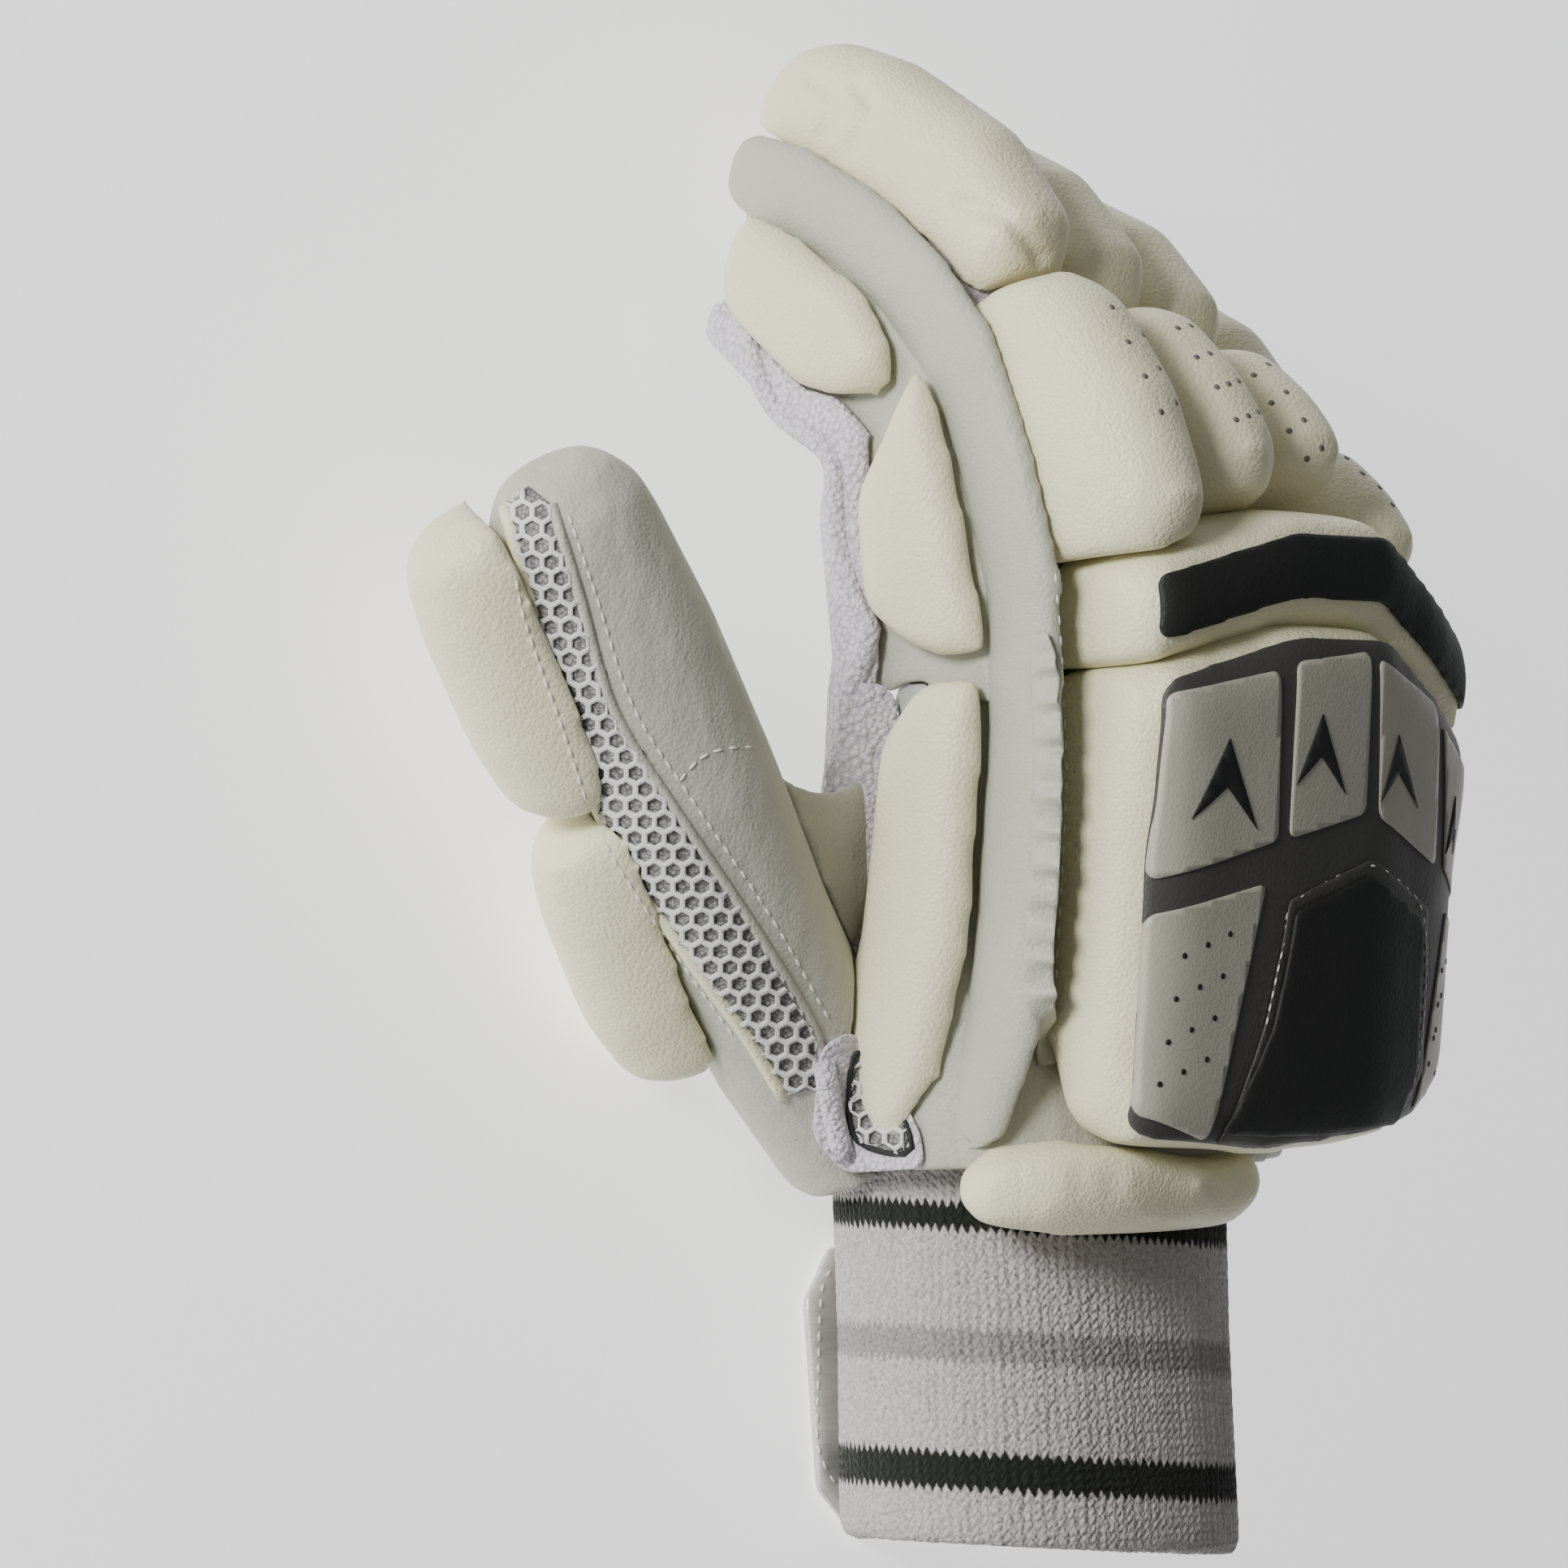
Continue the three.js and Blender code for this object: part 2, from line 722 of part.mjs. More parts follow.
// Side pads, as shares of the side line's length, the pad's depth and its thickness
const SIDE_PADS = [
  {
    name: 'side_pad_wrist',
    from: 0,
    to: 0.425,
    finish: 'cream',
    rows: [
      { along: 0, depth: 0.3, offset: 0.1, height: 0.5 },
      { along: 0.05, depth: 0.62, offset: 0.05, height: 0.85 },
      { along: 0.16, depth: 1.08, offset: 0, height: 1 },
      { along: 0.5, depth: 1.06, offset: 0, height: 1 },
      { along: 0.84, depth: 0.98, offset: 0, height: 1 },
      { along: 0.96, depth: 0.7, offset: 0.02, height: 0.85 },
      { along: 1, depth: 0.45, offset: 0.08, height: 0.45 },
    ],
  },
  {
    name: 'side_pad_middle',
    from: 0.435,
    to: 0.715,
    finish: 'cream',
    rows: [
      { along: 0, depth: 0.5, offset: 0.05, height: 0.45 },
      { along: 0.07, depth: 0.8, offset: 0.02, height: 0.85 },
      { along: 0.35, depth: 1.12, offset: 0, height: 1 },
      { along: 0.62, depth: 0.98, offset: 0, height: 1 },
      { along: 0.86, depth: 0.5, offset: 0, height: 0.9 },
      { along: 1, depth: 0.16, offset: 0, height: 0.4 },
    ],
  },
  {
    name: 'side_pad_tip',
    from: 0.715,
    to: 0.965,
    finish: 'cream',
    rows: [
      { along: 0, depth: 0.2, offset: 0.3, height: 0.4 },
      { along: 0.1, depth: 0.62, offset: 0.1, height: 0.85 },
      { along: 0.35, depth: 0.98, offset: 0, height: 1 },
      { along: 0.75, depth: 0.92, offset: 0, height: 1 },
      { along: 0.93, depth: 0.84, offset: 0, height: 0.9 },
      { along: 1, depth: 0.64, offset: 0.02, height: 0.5 },
    ],
  },
];

function sidePad(pad, grow = 0) {
  const seat = sideWall - gap;
  const rings = pad.rows.map((row) => {
    const frame = sideFrame(pad.from + (pad.to - pad.from) * row.along, seat);
    const half = (row.depth * sidePadDepth) / 2;
    const start = stripWidth / 2 - 2 + row.offset * sidePadDepth;
    frame.point.addScaledVector(frame.right, -start - half);
    return crownPoints(frame, half, row.height * sidePadThickness, 0, 8, grow);
  });
  return loft(rings);
}

// Leather wall behind the pads beside the index finger, from the channel strip to the towelling
function sideBacking() {
  const rings = TOWEL.filter((row) => row.along >= 0.4).map((row) => {
    const frame = sideFrame(row.along, sideWall - gap);
    const near = -stripWidth / 2 - gap;
    const far = -row.offset * sidePadDepth - towelWidth * 0.3;
    return [
      place(frame, near, 2 * -gap),
      place(frame, far, 2 * -gap),
      place(frame, far, 2 * -gap - sideBackingWall),
      place(frame, near, 2 * -gap - sideBackingWall),
    ];
  });
  return loft(rings);
}

// Towelling strip along the palm side of the pads
const TOWEL = [
  { along: 0.02, offset: 1.05 },
  { along: 0.1, offset: 1.28 },
  { along: 0.25, offset: 1.48 },
  { along: 0.4, offset: 1.52 },
  { along: 0.5, offset: 1.5 },
  { along: 0.6, offset: 1.34 },
  { along: 0.7, offset: 1.12 },
  { along: 0.8, offset: 1.18 },
  { along: 0.9, offset: 1.14 },
  { along: 0.97, offset: 1.08 },
];

function sideTowel(grow = 0) {
  const rings = TOWEL.map((row, i) => {
    const end = i === 0 || i === TOWEL.length - 1 ? 0.75 : 1;
    const frame = sideFrame(row.along, sideWall - gap);
    frame.point.addScaledVector(frame.right, -row.offset * sidePadDepth);
    return crownPoints(frame, (end * towelWidth) / 2, end * towelThickness, 0, 6, grow);
  });
  return loft(rings);
}

// Thumb

const THUMB_PATH = [
  { across: -0.82, along: 0.05, rise: -0.97 },
  { across: -1.12, along: 0.24, rise: -0.97 },
  { across: -1.41, along: 0.43, rise: -0.87 },
  { across: -1.735, along: 0.69, rise: -0.73 },
  { across: -2.07, along: 0.99, rise: -0.68 },
  { across: -2.285, along: 1.18, rise: -0.68 },
];
const thumbOut = vec(-0.881, 0, -0.471);
const thumbCurve = new THREE.CatmullRomCurve3(
  THUMB_PATH.map((row) =>
    vec(
      row.across * handHalfWidth,
      handStart + row.along * palmLength,
      handRise + (row.rise * handDepth) / 2
    )
  )
);
const THUMB = [
  { along: 0, width: 0.92, height: 0.9 },
  { along: 0.18, width: 1, height: 0.96 },
  { along: 0.4, width: 1.02, height: 1 },
  { along: 0.62, width: 1, height: 1 },
  { along: 0.84, width: 0.96, height: 0.97 },
  { along: 1, width: 0.88, height: 0.9 },
];
const thumbPower = 2.3;

// Frame on the thumb: up points out of the thumb's padded back, right to the palm
function thumbFrame(share) {
  const point = thumbCurve.getPointAt(share);
  return frameAt(point, thumbCurve.getTangentAt(share), thumbOut);
}

// Spans of the thumb's three long pieces, in degrees from its palm side over its padded back
const THUMB_SPANS = [
  { name: 'thumb_back', from: 44, to: 140, steps: 6, finish: 'white' },
  { name: 'thumb_mesh', from: 2, to: 42, steps: 3, finish: 'mesh' },
  { name: 'thumb_leather', from: 142, to: 360, steps: 12, finish: 'white' },
];

function thumbPiece({ from, to, steps }) {
  const rings = THUMB.map((row) => {
    const halfWidth = (row.width * thumbWidth) / 2;
    const halfHeight = (row.height * thumbWidth) / 2;
    const frame = thumbFrame(row.along);
    return wallPoints(frame, halfWidth, halfHeight, thumbPower, thumbWall, from, to, steps);
  });
  return loft(rings, true);
}

function thumbSolid(grow, before = 0) {
  const rows = THUMB.map((row) => ({ ...row, beyond: row.along > 0 ? 0 : -before }));
  const end = THUMB[THUMB.length - 1];
  for (const row of CAP.slice(1)) {
    rows.push({
      along: 1,
      beyond: gap + row.along * thumbCapLength + grow,
      width: end.width * row.size,
      height: end.height * row.size,
    });
  }
  const rings = rows.map((row) => {
    const frame = thumbFrame(row.along);
    frame.point.addScaledVector(frame.along, row.beyond);
    const halfWidth = (row.width * thumbWidth) / 2 + grow;
    return ringPoints(frame, halfWidth, (row.height * thumbWidth) / 2 + grow, thumbPower, 24);
  });
  return loft(rings);
}

function thumbCap() {
  const end = THUMB[THUMB.length - 1];
  const halfWidth = (end.width * thumbWidth) / 2;
  const halfHeight = (end.height * thumbWidth) / 2;
  return tipCap(thumbFrame(1), halfWidth, halfHeight, thumbPower, thumbCapLength, capWall, 18);
}

// Thumb pads, as shares of the thumb's length and of the pad's width and thickness
const THUMB_PAD = [
  { along: 0, width: 0.72, height: 0.5 },
  { along: 0.08, width: 0.92, height: 0.86 },
  { along: 0.3, width: 1, height: 1 },
  { along: 0.7, width: 1, height: 1 },
  { along: 0.92, width: 0.93, height: 0.88 },
  { along: 1, width: 0.74, height: 0.5 },
];

const THUMB_PADS = [
  { name: 'thumb_pad_tip', from: 0.66, to: 1.1 },
  { name: 'thumb_pad_wrist', from: 0.24, to: 0.65 },
];

function thumbPad({ from, to }) {
  const seat = thumbWidth / 2 - seatDepth;
  const rings = THUMB_PAD.map((row) => {
    const frame = thumbFrame(Math.min(from + (to - from) * row.along, 1));
    const beyond = Math.max(from + (to - from) * row.along - 1, 0);
    frame.point.addScaledVector(frame.along, beyond * thumbCurve.getLength());
    const halfWidth = (row.width * thumbPadWidth) / 2;
    return crownPoints(frame, halfWidth, row.height * thumbPadThickness + seatDepth, seat, 8);
  });
  return loft(rings);
}

// Leather web between the thumb and the side of the palm
function thumbWeb() {
  const level = handRise - handDepth * 0.24;
  const outline = new THREE.Shape();
  outline.moveTo(sideWall - 2, handStart + 0.36 * palmLength);
  outline.lineTo(sideWall * 1.5, handStart + 0.66 * palmLength);
  outline.lineTo(sideWall * 1.52, handStart + 0.76 * palmLength);
  outline.quadraticCurveTo(
    sideWall * 1.22,
    handStart + 0.66 * palmLength,
    sideWall - 1,
    handStart + 0.76 * palmLength
  );
  outline.closePath();
  const plate = new THREE.ExtrudeGeometry(outline, {
    depth: webThickness,
    bevelEnabled: false,
    curveSegments: 6,
  });
  plate.translate(0, 0, level);
  return solidOf(plate);
}

// Cuff and strap

const CUFF = [
  { along: 0, size: 0.97, across: 0 },
  { along: 0.04, size: 1, across: 0.002 },
  { along: 0.5, size: 0.985, across: 0.03 },
  { along: 1, size: 1, across: 0.06 },
];

// Outline of the cuff, flattened where it rests, from one angle to another
function cuffOutline(y, size, inset, from, to, steps) {
  const share = THREE.MathUtils.clamp(y / cuffLength, 0, 1);
  const x = cuffOffset + between(CUFF, 'across', share) * cuffWidth;
  const frame = frameAt(vec(x, y, -handRise), Y_AXIS, Z_AXIS);
  const halfWidth = (size * cuffWidth) / 2 - inset;
  const halfDepth = (size * cuffDepth) / 2 - inset;
  const points = arcPoints(frame, halfWidth, halfDepth, cuffPower, from, to, steps);
  for (const p of points) p.z = Math.max(p.z, cuffFloor + inset);
  return points;
}

function cuffSolid(inset, beyond) {
  const steps = 28;
  const rings = CUFF.map((row) => {
    const y = row.along * cuffLength + endGrowth(row.along, beyond);
    return cuffOutline(y, row.size, inset, 0, fullTurn, steps).slice(0, steps);
  });
  return loft(rings);
}

// The strap lies flat under the cuff and turns up round it on the little finger's side
function strapSide(y, inset) {
  const under = cuffFloor + inset;
  const left = cuffOffset - cuffWidth / 2 + strapReach;
  return [vec(left, y, under), ...cuffOutline(y, 1, inset, strapFlatEnd, strapTurn, 9)];
}

function strap() {
  const top = strapStart + strapWidth;
  const rings = [strapStart, top].map((y) => [
    ...strapSide(y, -gap - strapThickness),
    ...strapSide(y, -gap).reverse(),
  ]);
  const left = cuffOffset - cuffWidth / 2 + strapReach;
  const right = cuffOffset + cuffWidth;
  const outline = new THREE.Shape();
  outline.moveTo(left + strapClip, strapStart);
  outline.lineTo(right, strapStart);
  outline.lineTo(right, top);
  outline.lineTo(left + strapClip * 0.8, top);
  outline.lineTo(left, top - strapClip);
  outline.lineTo(left, strapStart + strapClip);
  outline.closePath();
  const prism = new THREE.ExtrudeGeometry(outline, { depth: cuffDepth * 2, bevelEnabled: false });
  prism.translate(0, 0, -cuffDepth);
  return loft(rings, true).intersect(solidOf(prism));
}

// Assembly. The hand's pieces lie in a group that is lifted a little at the wrist, so that the
// strap and the curled fingertips rest on one surface.

const hand = new THREE.Group();
const wrist = new THREE.Group();
const glove = new THREE.Group();

const lift = new THREE.Matrix4().makeRotationX(liftAngle);
const lower = lift.clone().invert();

function moved(solid, matrix) {
  const { vertProperties, triVerts } = solid.getMesh();
  const geometry = new THREE.BufferGeometry();
  geometry.setAttribute('position', new THREE.BufferAttribute(vertProperties, 3));
  geometry.setIndex(new THREE.BufferAttribute(triVerts, 1));
  geometry.applyMatrix4(matrix);
  return solidOf(geometry);
}

const cuffRoom = moved(cuffSolid(-gap, gap), lower);
const handRoom = handSolid(gap);
const thumbRoom = thumbSolid(gap);
const thumbBore = thumbSolid(-thumbWall, cuffTuck);
const stallRooms = FINGERS.map((finger) => stallSolid(finger, gap));

wrist.add(meshOf('knit_cuff', cuffSolid(0, 0).subtract(cuffSolid(knitWall, 1)), 'knit'));
wrist.add(meshOf('wrist_strap', strap(), 'vinyl'));

const palm = cutBy(handWall(palmWall, PALM_SPAN), cuffRoom, thumbBore, ...stallRooms);
const back = cutBy(handWall(backWall, BACK_SPAN), cuffRoom, thumbBore, ...stallRooms);
hand.add(meshOf('palm_leather', palm, 'palm'));
hand.add(meshOf('hand_back', back, 'white'));

FINGERS.forEach((finger) => {
  const front = stallWall(finger, palmWall, FRONT_SPAN.from, FRONT_SPAN.to, 6);
  const gusset = stallWall(
    finger,
    towelWall,
    FRONT_SPAN.to - fullTurn + seamGap,
    FRONT_SPAN.from - seamGap,
    10
  );
  hand.add(meshOf(`${finger.name}_front`, front, 'palm'));
  hand.add(meshOf(`${finger.name}_gusset`, gusset, 'towel'));
  hand.add(meshOf(`${finger.name}_tip_cap`, fingerCap(finger), 'white'));
});

const bar = cutBy(knuckleBar(), handRoom, ...stallRooms);
hand.add(meshOf('knuckle_bar', bar, 'cream'));
hand.add(meshOf('knuckle_insert', knuckleInsert(), 'black'));

const barRoom = knuckleBar(gap);
FINGERS.forEach((finger, i) => {
  const start = (barDepth - rollTuck) / finger.length;
  const nearEnd = finger.split - rollSplitGap / finger.length;
  const farEnd = 1 + farRollReach / finger.length;
  const near = fingerRoll(finger, NEAR_ROLL, start, nearEnd, nearRollHeight);
  const far = fingerRoll(finger, FAR_ROLL, finger.split, farEnd, farRollHeight);
  hand.add(meshOf(`${finger.name}_roll_near`, cutBy(near, stallRooms[i], barRoom), 'cream'));
  hand.add(meshOf(`${finger.name}_roll_far`, cutBy(far, stallRooms[i]), 'cream'));
});

const padCuts = [handRoom, back, backPanel(gap), ...stallRooms];
hand.add(meshOf('back_pad', cutBy(backPad(), ...padCuts), 'cream'));
hand.add(meshOf('back_panel', backPanel(), 'print'));
hand.add(meshOf('back_shield', backShield(), 'black'));
hand.add(meshOf('wrist_roll', cutBy(wristRoll(), handRoom, cuffRoom, backPad(gap)), 'cream'));

const padRooms = SIDE_PADS.map((pad) => sidePad(pad, gap));
const stripCuts = [handRoom, wristRoll(gap), ...stallRooms, ...padRooms];
hand.add(meshOf('side_channel', cutBy(sideStrip(), ...stripCuts), 'white'));
SIDE_PADS.forEach((pad) => {
  hand.add(meshOf(pad.name, cutBy(sidePad(pad), handRoom), pad.finish));
});
hand.add(meshOf('side_gusset', cutBy(sideTowel(), handRoom, ...padRooms), 'towel'));
const backingCuts = [handRoom, sideTowel(gap), ...stallRooms, ...padRooms];
hand.add(meshOf('side_backing', cutBy(sideBacking(), ...backingCuts), 'white'));

const thumbCuts = [handRoom, cuffRoom, sideTowel(gap), ...padRooms];
THUMB_SPANS.forEach((span) => {
  hand.add(meshOf(span.name, cutBy(thumbPiece(span), ...thumbCuts), span.finish));
});
hand.add(meshOf('thumb_tip_cap', thumbCap(), 'white'));
THUMB_PADS.forEach((pad) => {
  hand.add(meshOf(pad.name, cutBy(thumbPad(pad), thumbRoom, handRoom), 'cream'));
});
hand.add(meshOf('thumb_web', cutBy(thumbWeb(), thumbRoom, ...thumbCuts), 'white'));

hand.rotation.x = liftAngle;
glove.add(wrist, hand);
glove.updateMatrixWorld(true);
const box = new THREE.Box3().setFromObject(glove, true);
const middle = box.getCenter(new THREE.Vector3());
glove.position.set(-middle.x, -middle.y, -box.min.z);

export default glove;
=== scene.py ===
# %% [markdown]
# # A cricket batting glove, right hand
#
# The glove lies on its palm with the fingers curled, as it does when a batter drops it. The packed
# solids give every piece its size and place. This file gives each piece the look of the real one:
# swollen leather rolls, stitched seams, looped towelling, a knitted cuff and a printed back panel.

# %% Load the frame
import math
import bmesh
import bpy
from mathutils import Matrix, Vector
from mathutils.bvhtree import BVHTree


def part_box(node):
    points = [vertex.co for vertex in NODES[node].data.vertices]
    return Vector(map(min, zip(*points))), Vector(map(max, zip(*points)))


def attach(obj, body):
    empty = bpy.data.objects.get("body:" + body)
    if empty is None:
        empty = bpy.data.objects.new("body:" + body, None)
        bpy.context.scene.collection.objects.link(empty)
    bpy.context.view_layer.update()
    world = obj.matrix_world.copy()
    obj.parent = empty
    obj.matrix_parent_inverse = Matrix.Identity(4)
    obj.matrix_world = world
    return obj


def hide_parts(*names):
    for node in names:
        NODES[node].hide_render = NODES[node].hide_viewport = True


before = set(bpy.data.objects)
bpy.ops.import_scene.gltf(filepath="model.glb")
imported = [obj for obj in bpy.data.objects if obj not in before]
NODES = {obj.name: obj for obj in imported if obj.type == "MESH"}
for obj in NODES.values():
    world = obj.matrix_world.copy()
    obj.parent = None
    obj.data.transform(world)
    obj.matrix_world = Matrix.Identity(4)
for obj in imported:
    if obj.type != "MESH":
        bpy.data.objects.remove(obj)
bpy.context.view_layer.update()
BODY = "root"
MM = 0.001
METRE = 1000
FINGERS = ("index", "middle", "ring", "little")
scene = bpy.context.scene

# %% [markdown]
# The hand part of the solids is lifted a little at the wrist, so that the strap and the fingertips
# share one surface. Sizes on the glove are easier to think of in the hand's own frame, with its
# origin in the middle of the wrist's end, so a matrix is worked out that brings such a place to
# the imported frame. It is found from the cuff, which is the one piece that is not lifted.

# %% The hand's own frame
LIFT = math.radians(5.4)
CUFF_WIDTH, CUFF_DEPTH = 74, 52
CUFF_MIDDLE, CUFF_TOP = -9.2, 23
cuff_low, cuff_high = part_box("knit_cuff")
cuff_x, cuff_z = (cuff_low.x + cuff_high.x) / 2, (cuff_low.z + cuff_high.z) / 2
hand_origin = Vector((
    cuff_x - CUFF_MIDDLE * MM,
    cuff_low.y,
    cuff_high.z - CUFF_TOP * MM,
))
HAND = Matrix.Translation(hand_origin) @ Matrix.Rotation(LIFT, 4, "X") @ Matrix.Scale(MM, 4)
HAND_RIGHT, HAND_ALONG, HAND_UP = (
    HAND.to_3x3().normalized() @ Vector(axis) for axis in ((1, 0, 0), (0, 1, 0), (0, 0, 1))
)
print("hand origin in mm:", [round(v * METRE, 2) for v in hand_origin])

# %% [markdown]
# The camera looks from the thumb's side and above. On the photograph one millimetre of the glove
# is 7.6 pixels, and the line of sight leans 48 degrees from straight above towards the thumb.
# A long lens from 1.5 metres keeps the depth as flat as it is there.

# %% Camera
PHOTO_PIXELS = 1932
PIXELS_PER_MM = 7.6
PHOTO_ORIGIN = (1357, 1900)
SIGHT = Vector((-0.743, 0, 0.669)).normalized()
ACROSS = Vector((0.669, 0, 0.743)).normalized()
CAMERA_DISTANCE = 1500
SENSOR = 36


def on_photo(px, py, depth=0):
    """Place in the hand's frame that the photograph shows at a pixel, some depth towards the lens."""
    u = (px - PHOTO_ORIGIN[0]) / PIXELS_PER_MM
    v = (PHOTO_ORIGIN[1] - py) / PIXELS_PER_MM
    return ACROSS * u + Vector((0, v, 0)) + SIGHT * depth


def linked(name, data):
    """A new object in the scene."""
    holder = bpy.data.objects.new(name, data)
    scene.collection.objects.link(holder)
    return holder


middle = PHOTO_PIXELS / 2
eye = HAND @ on_photo(middle, middle, CAMERA_DISTANCE)
turn = HAND.to_3x3().normalized()
right, up, back = turn @ ACROSS, turn @ Vector((0, 1, 0)), turn @ SIGHT
camera = linked("camera", bpy.data.cameras.new("camera"))
camera.matrix_world = Matrix((
    (right.x, up.x, back.x, eye.x),
    (right.y, up.y, back.y, eye.y),
    (right.z, up.z, back.z, eye.z),
    (0, 0, 0, 1),
))
camera.data.sensor_width = SENSOR
camera.data.lens = SENSOR * CAMERA_DISTANCE * PIXELS_PER_MM / PHOTO_PIXELS
camera.data.clip_start = 0.05
scene.camera = camera
print("camera at", [round(v, 3) for v in eye], "lens", round(camera.data.lens, 1))

# %% [markdown]
# A product shot has one large soft lamp and a pale surround. The big lamp stands up and to the
# left of the picture, which leaves the far side of the back pad in mild shade, and a weak one on
# the right keeps that shade open. The paper glows a little, which brings it nearer to white
# without washing out the leather.

# %% Lights, surround and floor
TARGET = Vector((0, 0, 0.04))
FLOOR_HALF = 3
SURROUND = {"Color": (0.93, 0.95, 1, 1), "Strength": 0.2}
PAPER = {
    "Base Color": (0.93, 0.93, 0.93, 1),
    "Roughness": 0.9,
    "Emission Color": (1, 1, 1, 1),
    "Emission Strength": 1.1,
}


def lamp(name, side, height, toward, power, size):
    """Area lamp placed by steps along the picture's right and up and towards the camera."""
    light = bpy.data.lights.new(name, "AREA")
    light.energy = power
    light.size = size
    holder = linked(name, light)
    place = TARGET + right * side + up * height + back * toward
    aim = (place - TARGET).to_track_quat("Z", "Y").to_matrix().to_4x4()
    holder.matrix_world = Matrix.Translation(place) @ aim
    return holder


def set_inputs(node, values):
    for socket, value in values.items():
        node.inputs[socket].default_value = value


def mesh_of(shape, name):
    """Hands a shape over as a mesh."""
    mesh = bpy.data.meshes.new(name)
    shape.to_mesh(mesh)
    shape.free()
    return mesh


lamps = (
    lamp("key_lamp", side=-0.7, height=0.5, toward=1.2, power=25, size=0.4),
    lamp("fill_lamp", side=1.0, height=0.0, toward=0.9, power=0.4, size=0.9),
)
world = bpy.data.worlds.new("surround")
scene.world = world
world.use_nodes = True
set_inputs(world.node_tree.nodes["Background"], SURROUND)
sheet = bmesh.new()
bmesh.ops.create_grid(sheet, x_segments=1, y_segments=1, size=FLOOR_HALF)
floor_mesh = mesh_of(sheet, "floor")
floor_paper = bpy.data.materials.new("white_paper")
floor_paper.use_nodes = True
set_inputs(floor_paper.node_tree.nodes["Principled BSDF"], PAPER)
floor_mesh.materials.append(floor_paper)
floor = linked("floor", floor_mesh)
print("lamps:", len(lamps), "floor faces:", len(floor_mesh.polygons))

# %% [markdown]
# Materials are written as sums. A small class wraps one output socket, so that mask * 2 or 1 - mask
# adds the Math node by itself, and one method makes every other kind of node. The Mix node has a
# set of sockets for every kind of value, so its colour ones are named here by their number.

# %% Shader sums
def operator(operation, swap=False):
    """What an arithmetic sign does to a shade: it adds a Math node."""
    def apply(self, other):
        return self.sum(operation, other, swap=swap)
    return apply


class Shade:
    """A number that varies over a surface: the output socket of a node."""

    def __init__(self, finish, socket):
        self.finish, self.socket = finish, socket

    def sum(self, operation, *others, swap=False):
        values = [self, *others]
        if swap:
            values.reverse()
        return self.finish.node("ShaderNodeMath", {"operation": operation}, dict(enumerate(values)))

    __add__ = __radd__ = operator("ADD")
    __sub__ = operator("SUBTRACT")
    __rsub__ = operator("SUBTRACT", swap=True)
    __mul__ = __rmul__ = operator("MULTIPLY")
    __truediv__ = operator("DIVIDE")

    def __abs__(self):
        return self.sum("ABSOLUTE")

    def clip(self):
        return self.sum("MINIMUM", 1).sum("MAXIMUM", 0)

    def step(self, low, high):
        """Rises from 0 to 1 between two values."""
        return ((self - low) / (high - low)).clip()


MIX_SHARE, MIX_LOW, MIX_HIGH, MIX_RESULT = 0, 6, 7, 2


class Finish:
    """A material, with places in millimetres in the hand's frame."""

    def __init__(self, name, colour, roughness, **sockets):
        self.material = bpy.data.materials.new(name)
        self.material.use_nodes = True
        self.material.diffuse_color = (*colour, 1)
        self.tree = self.material.node_tree
        self.shader = self.tree.nodes["Principled BSDF"]
        self.shader.inputs["Base Color"].default_value = (*colour, 1)
        self.shader.inputs["Roughness"].default_value = roughness
        for socket, value in sockets.items():
            self.shader.inputs[socket.replace("_", " ")].default_value = value
        local = self.node("ShaderNodeTexCoord", out="Object")
        shift = -(Matrix.Rotation(-LIFT, 3, "X") @ hand_origin) * METRE
        self.place = self.node("ShaderNodeMapping", {}, {
            "Vector": local, "Scale": (METRE, METRE, METRE), "Rotation": (-LIFT, 0, 0), "Location": shift,
        })

    def node(self, kind, settings=None, inputs=None, out=0):
        """Any node, from its type, its settings, and the values or links of its sockets."""
        made = self.tree.nodes.new(kind)
        for key, value in (settings or {}).items():
            setattr(made, key, value)
        for key, value in (inputs or {}).items():
            if isinstance(value, Shade):
                self.tree.links.new(value.socket, made.inputs[key])
            else:
                made.inputs[key].default_value = value
        return Shade(self, made.outputs[out])

    def axis(self, name, of=None):
        return self.node("ShaderNodeSeparateXYZ", {}, {"Vector": of or self.place}, out=name)

    def stretched(self, scale):
        return self.node("ShaderNodeVectorMath", {"operation": "MULTIPLY"}, {0: self.place, 1: scale})

    def noise(self, scale, detail=2, of=None):
        """Cloudy pattern with so many lumps to a millimetre."""
        inputs = {"Vector": of or self.place, "Scale": scale, "Detail": detail}
        return self.node("ShaderNodeTexNoise", {}, inputs)

    def cells(self, scale):
        """Distance to the nearest of scattered points, with so many of them to a millimetre."""
        return self.node("ShaderNodeTexVoronoi", {"feature": "F1"}, {"Vector": self.place, "Scale": scale})

    def mix(self, share, low, high):
        """From one colour to another, each of them a tuple or a shade."""
        ends = {MIX_LOW: low, MIX_HIGH: high}
        colours = {key: (*value, 1) if isinstance(value, tuple) else value for key, value in ends.items()}
        inputs = {MIX_SHARE: share, **colours}
        return self.node("ShaderNodeMix", {"data_type": "RGBA"}, inputs, out=MIX_RESULT)

    def paint(self, socket, shade):
        self.tree.links.new(shade.socket, self.shader.inputs[socket])

    def bump(self, height, depth_mm):
        """Relief of a height from 0 to 1, so many millimetres deep."""
        inputs = {"Strength": 1, "Distance": depth_mm * MM, "Height": height}
        self.paint("Normal", self.node("ShaderNodeBump", {}, inputs))


print("patterns are turned by", round(math.degrees(-LIFT), 1), "degrees, to lie along the hand")

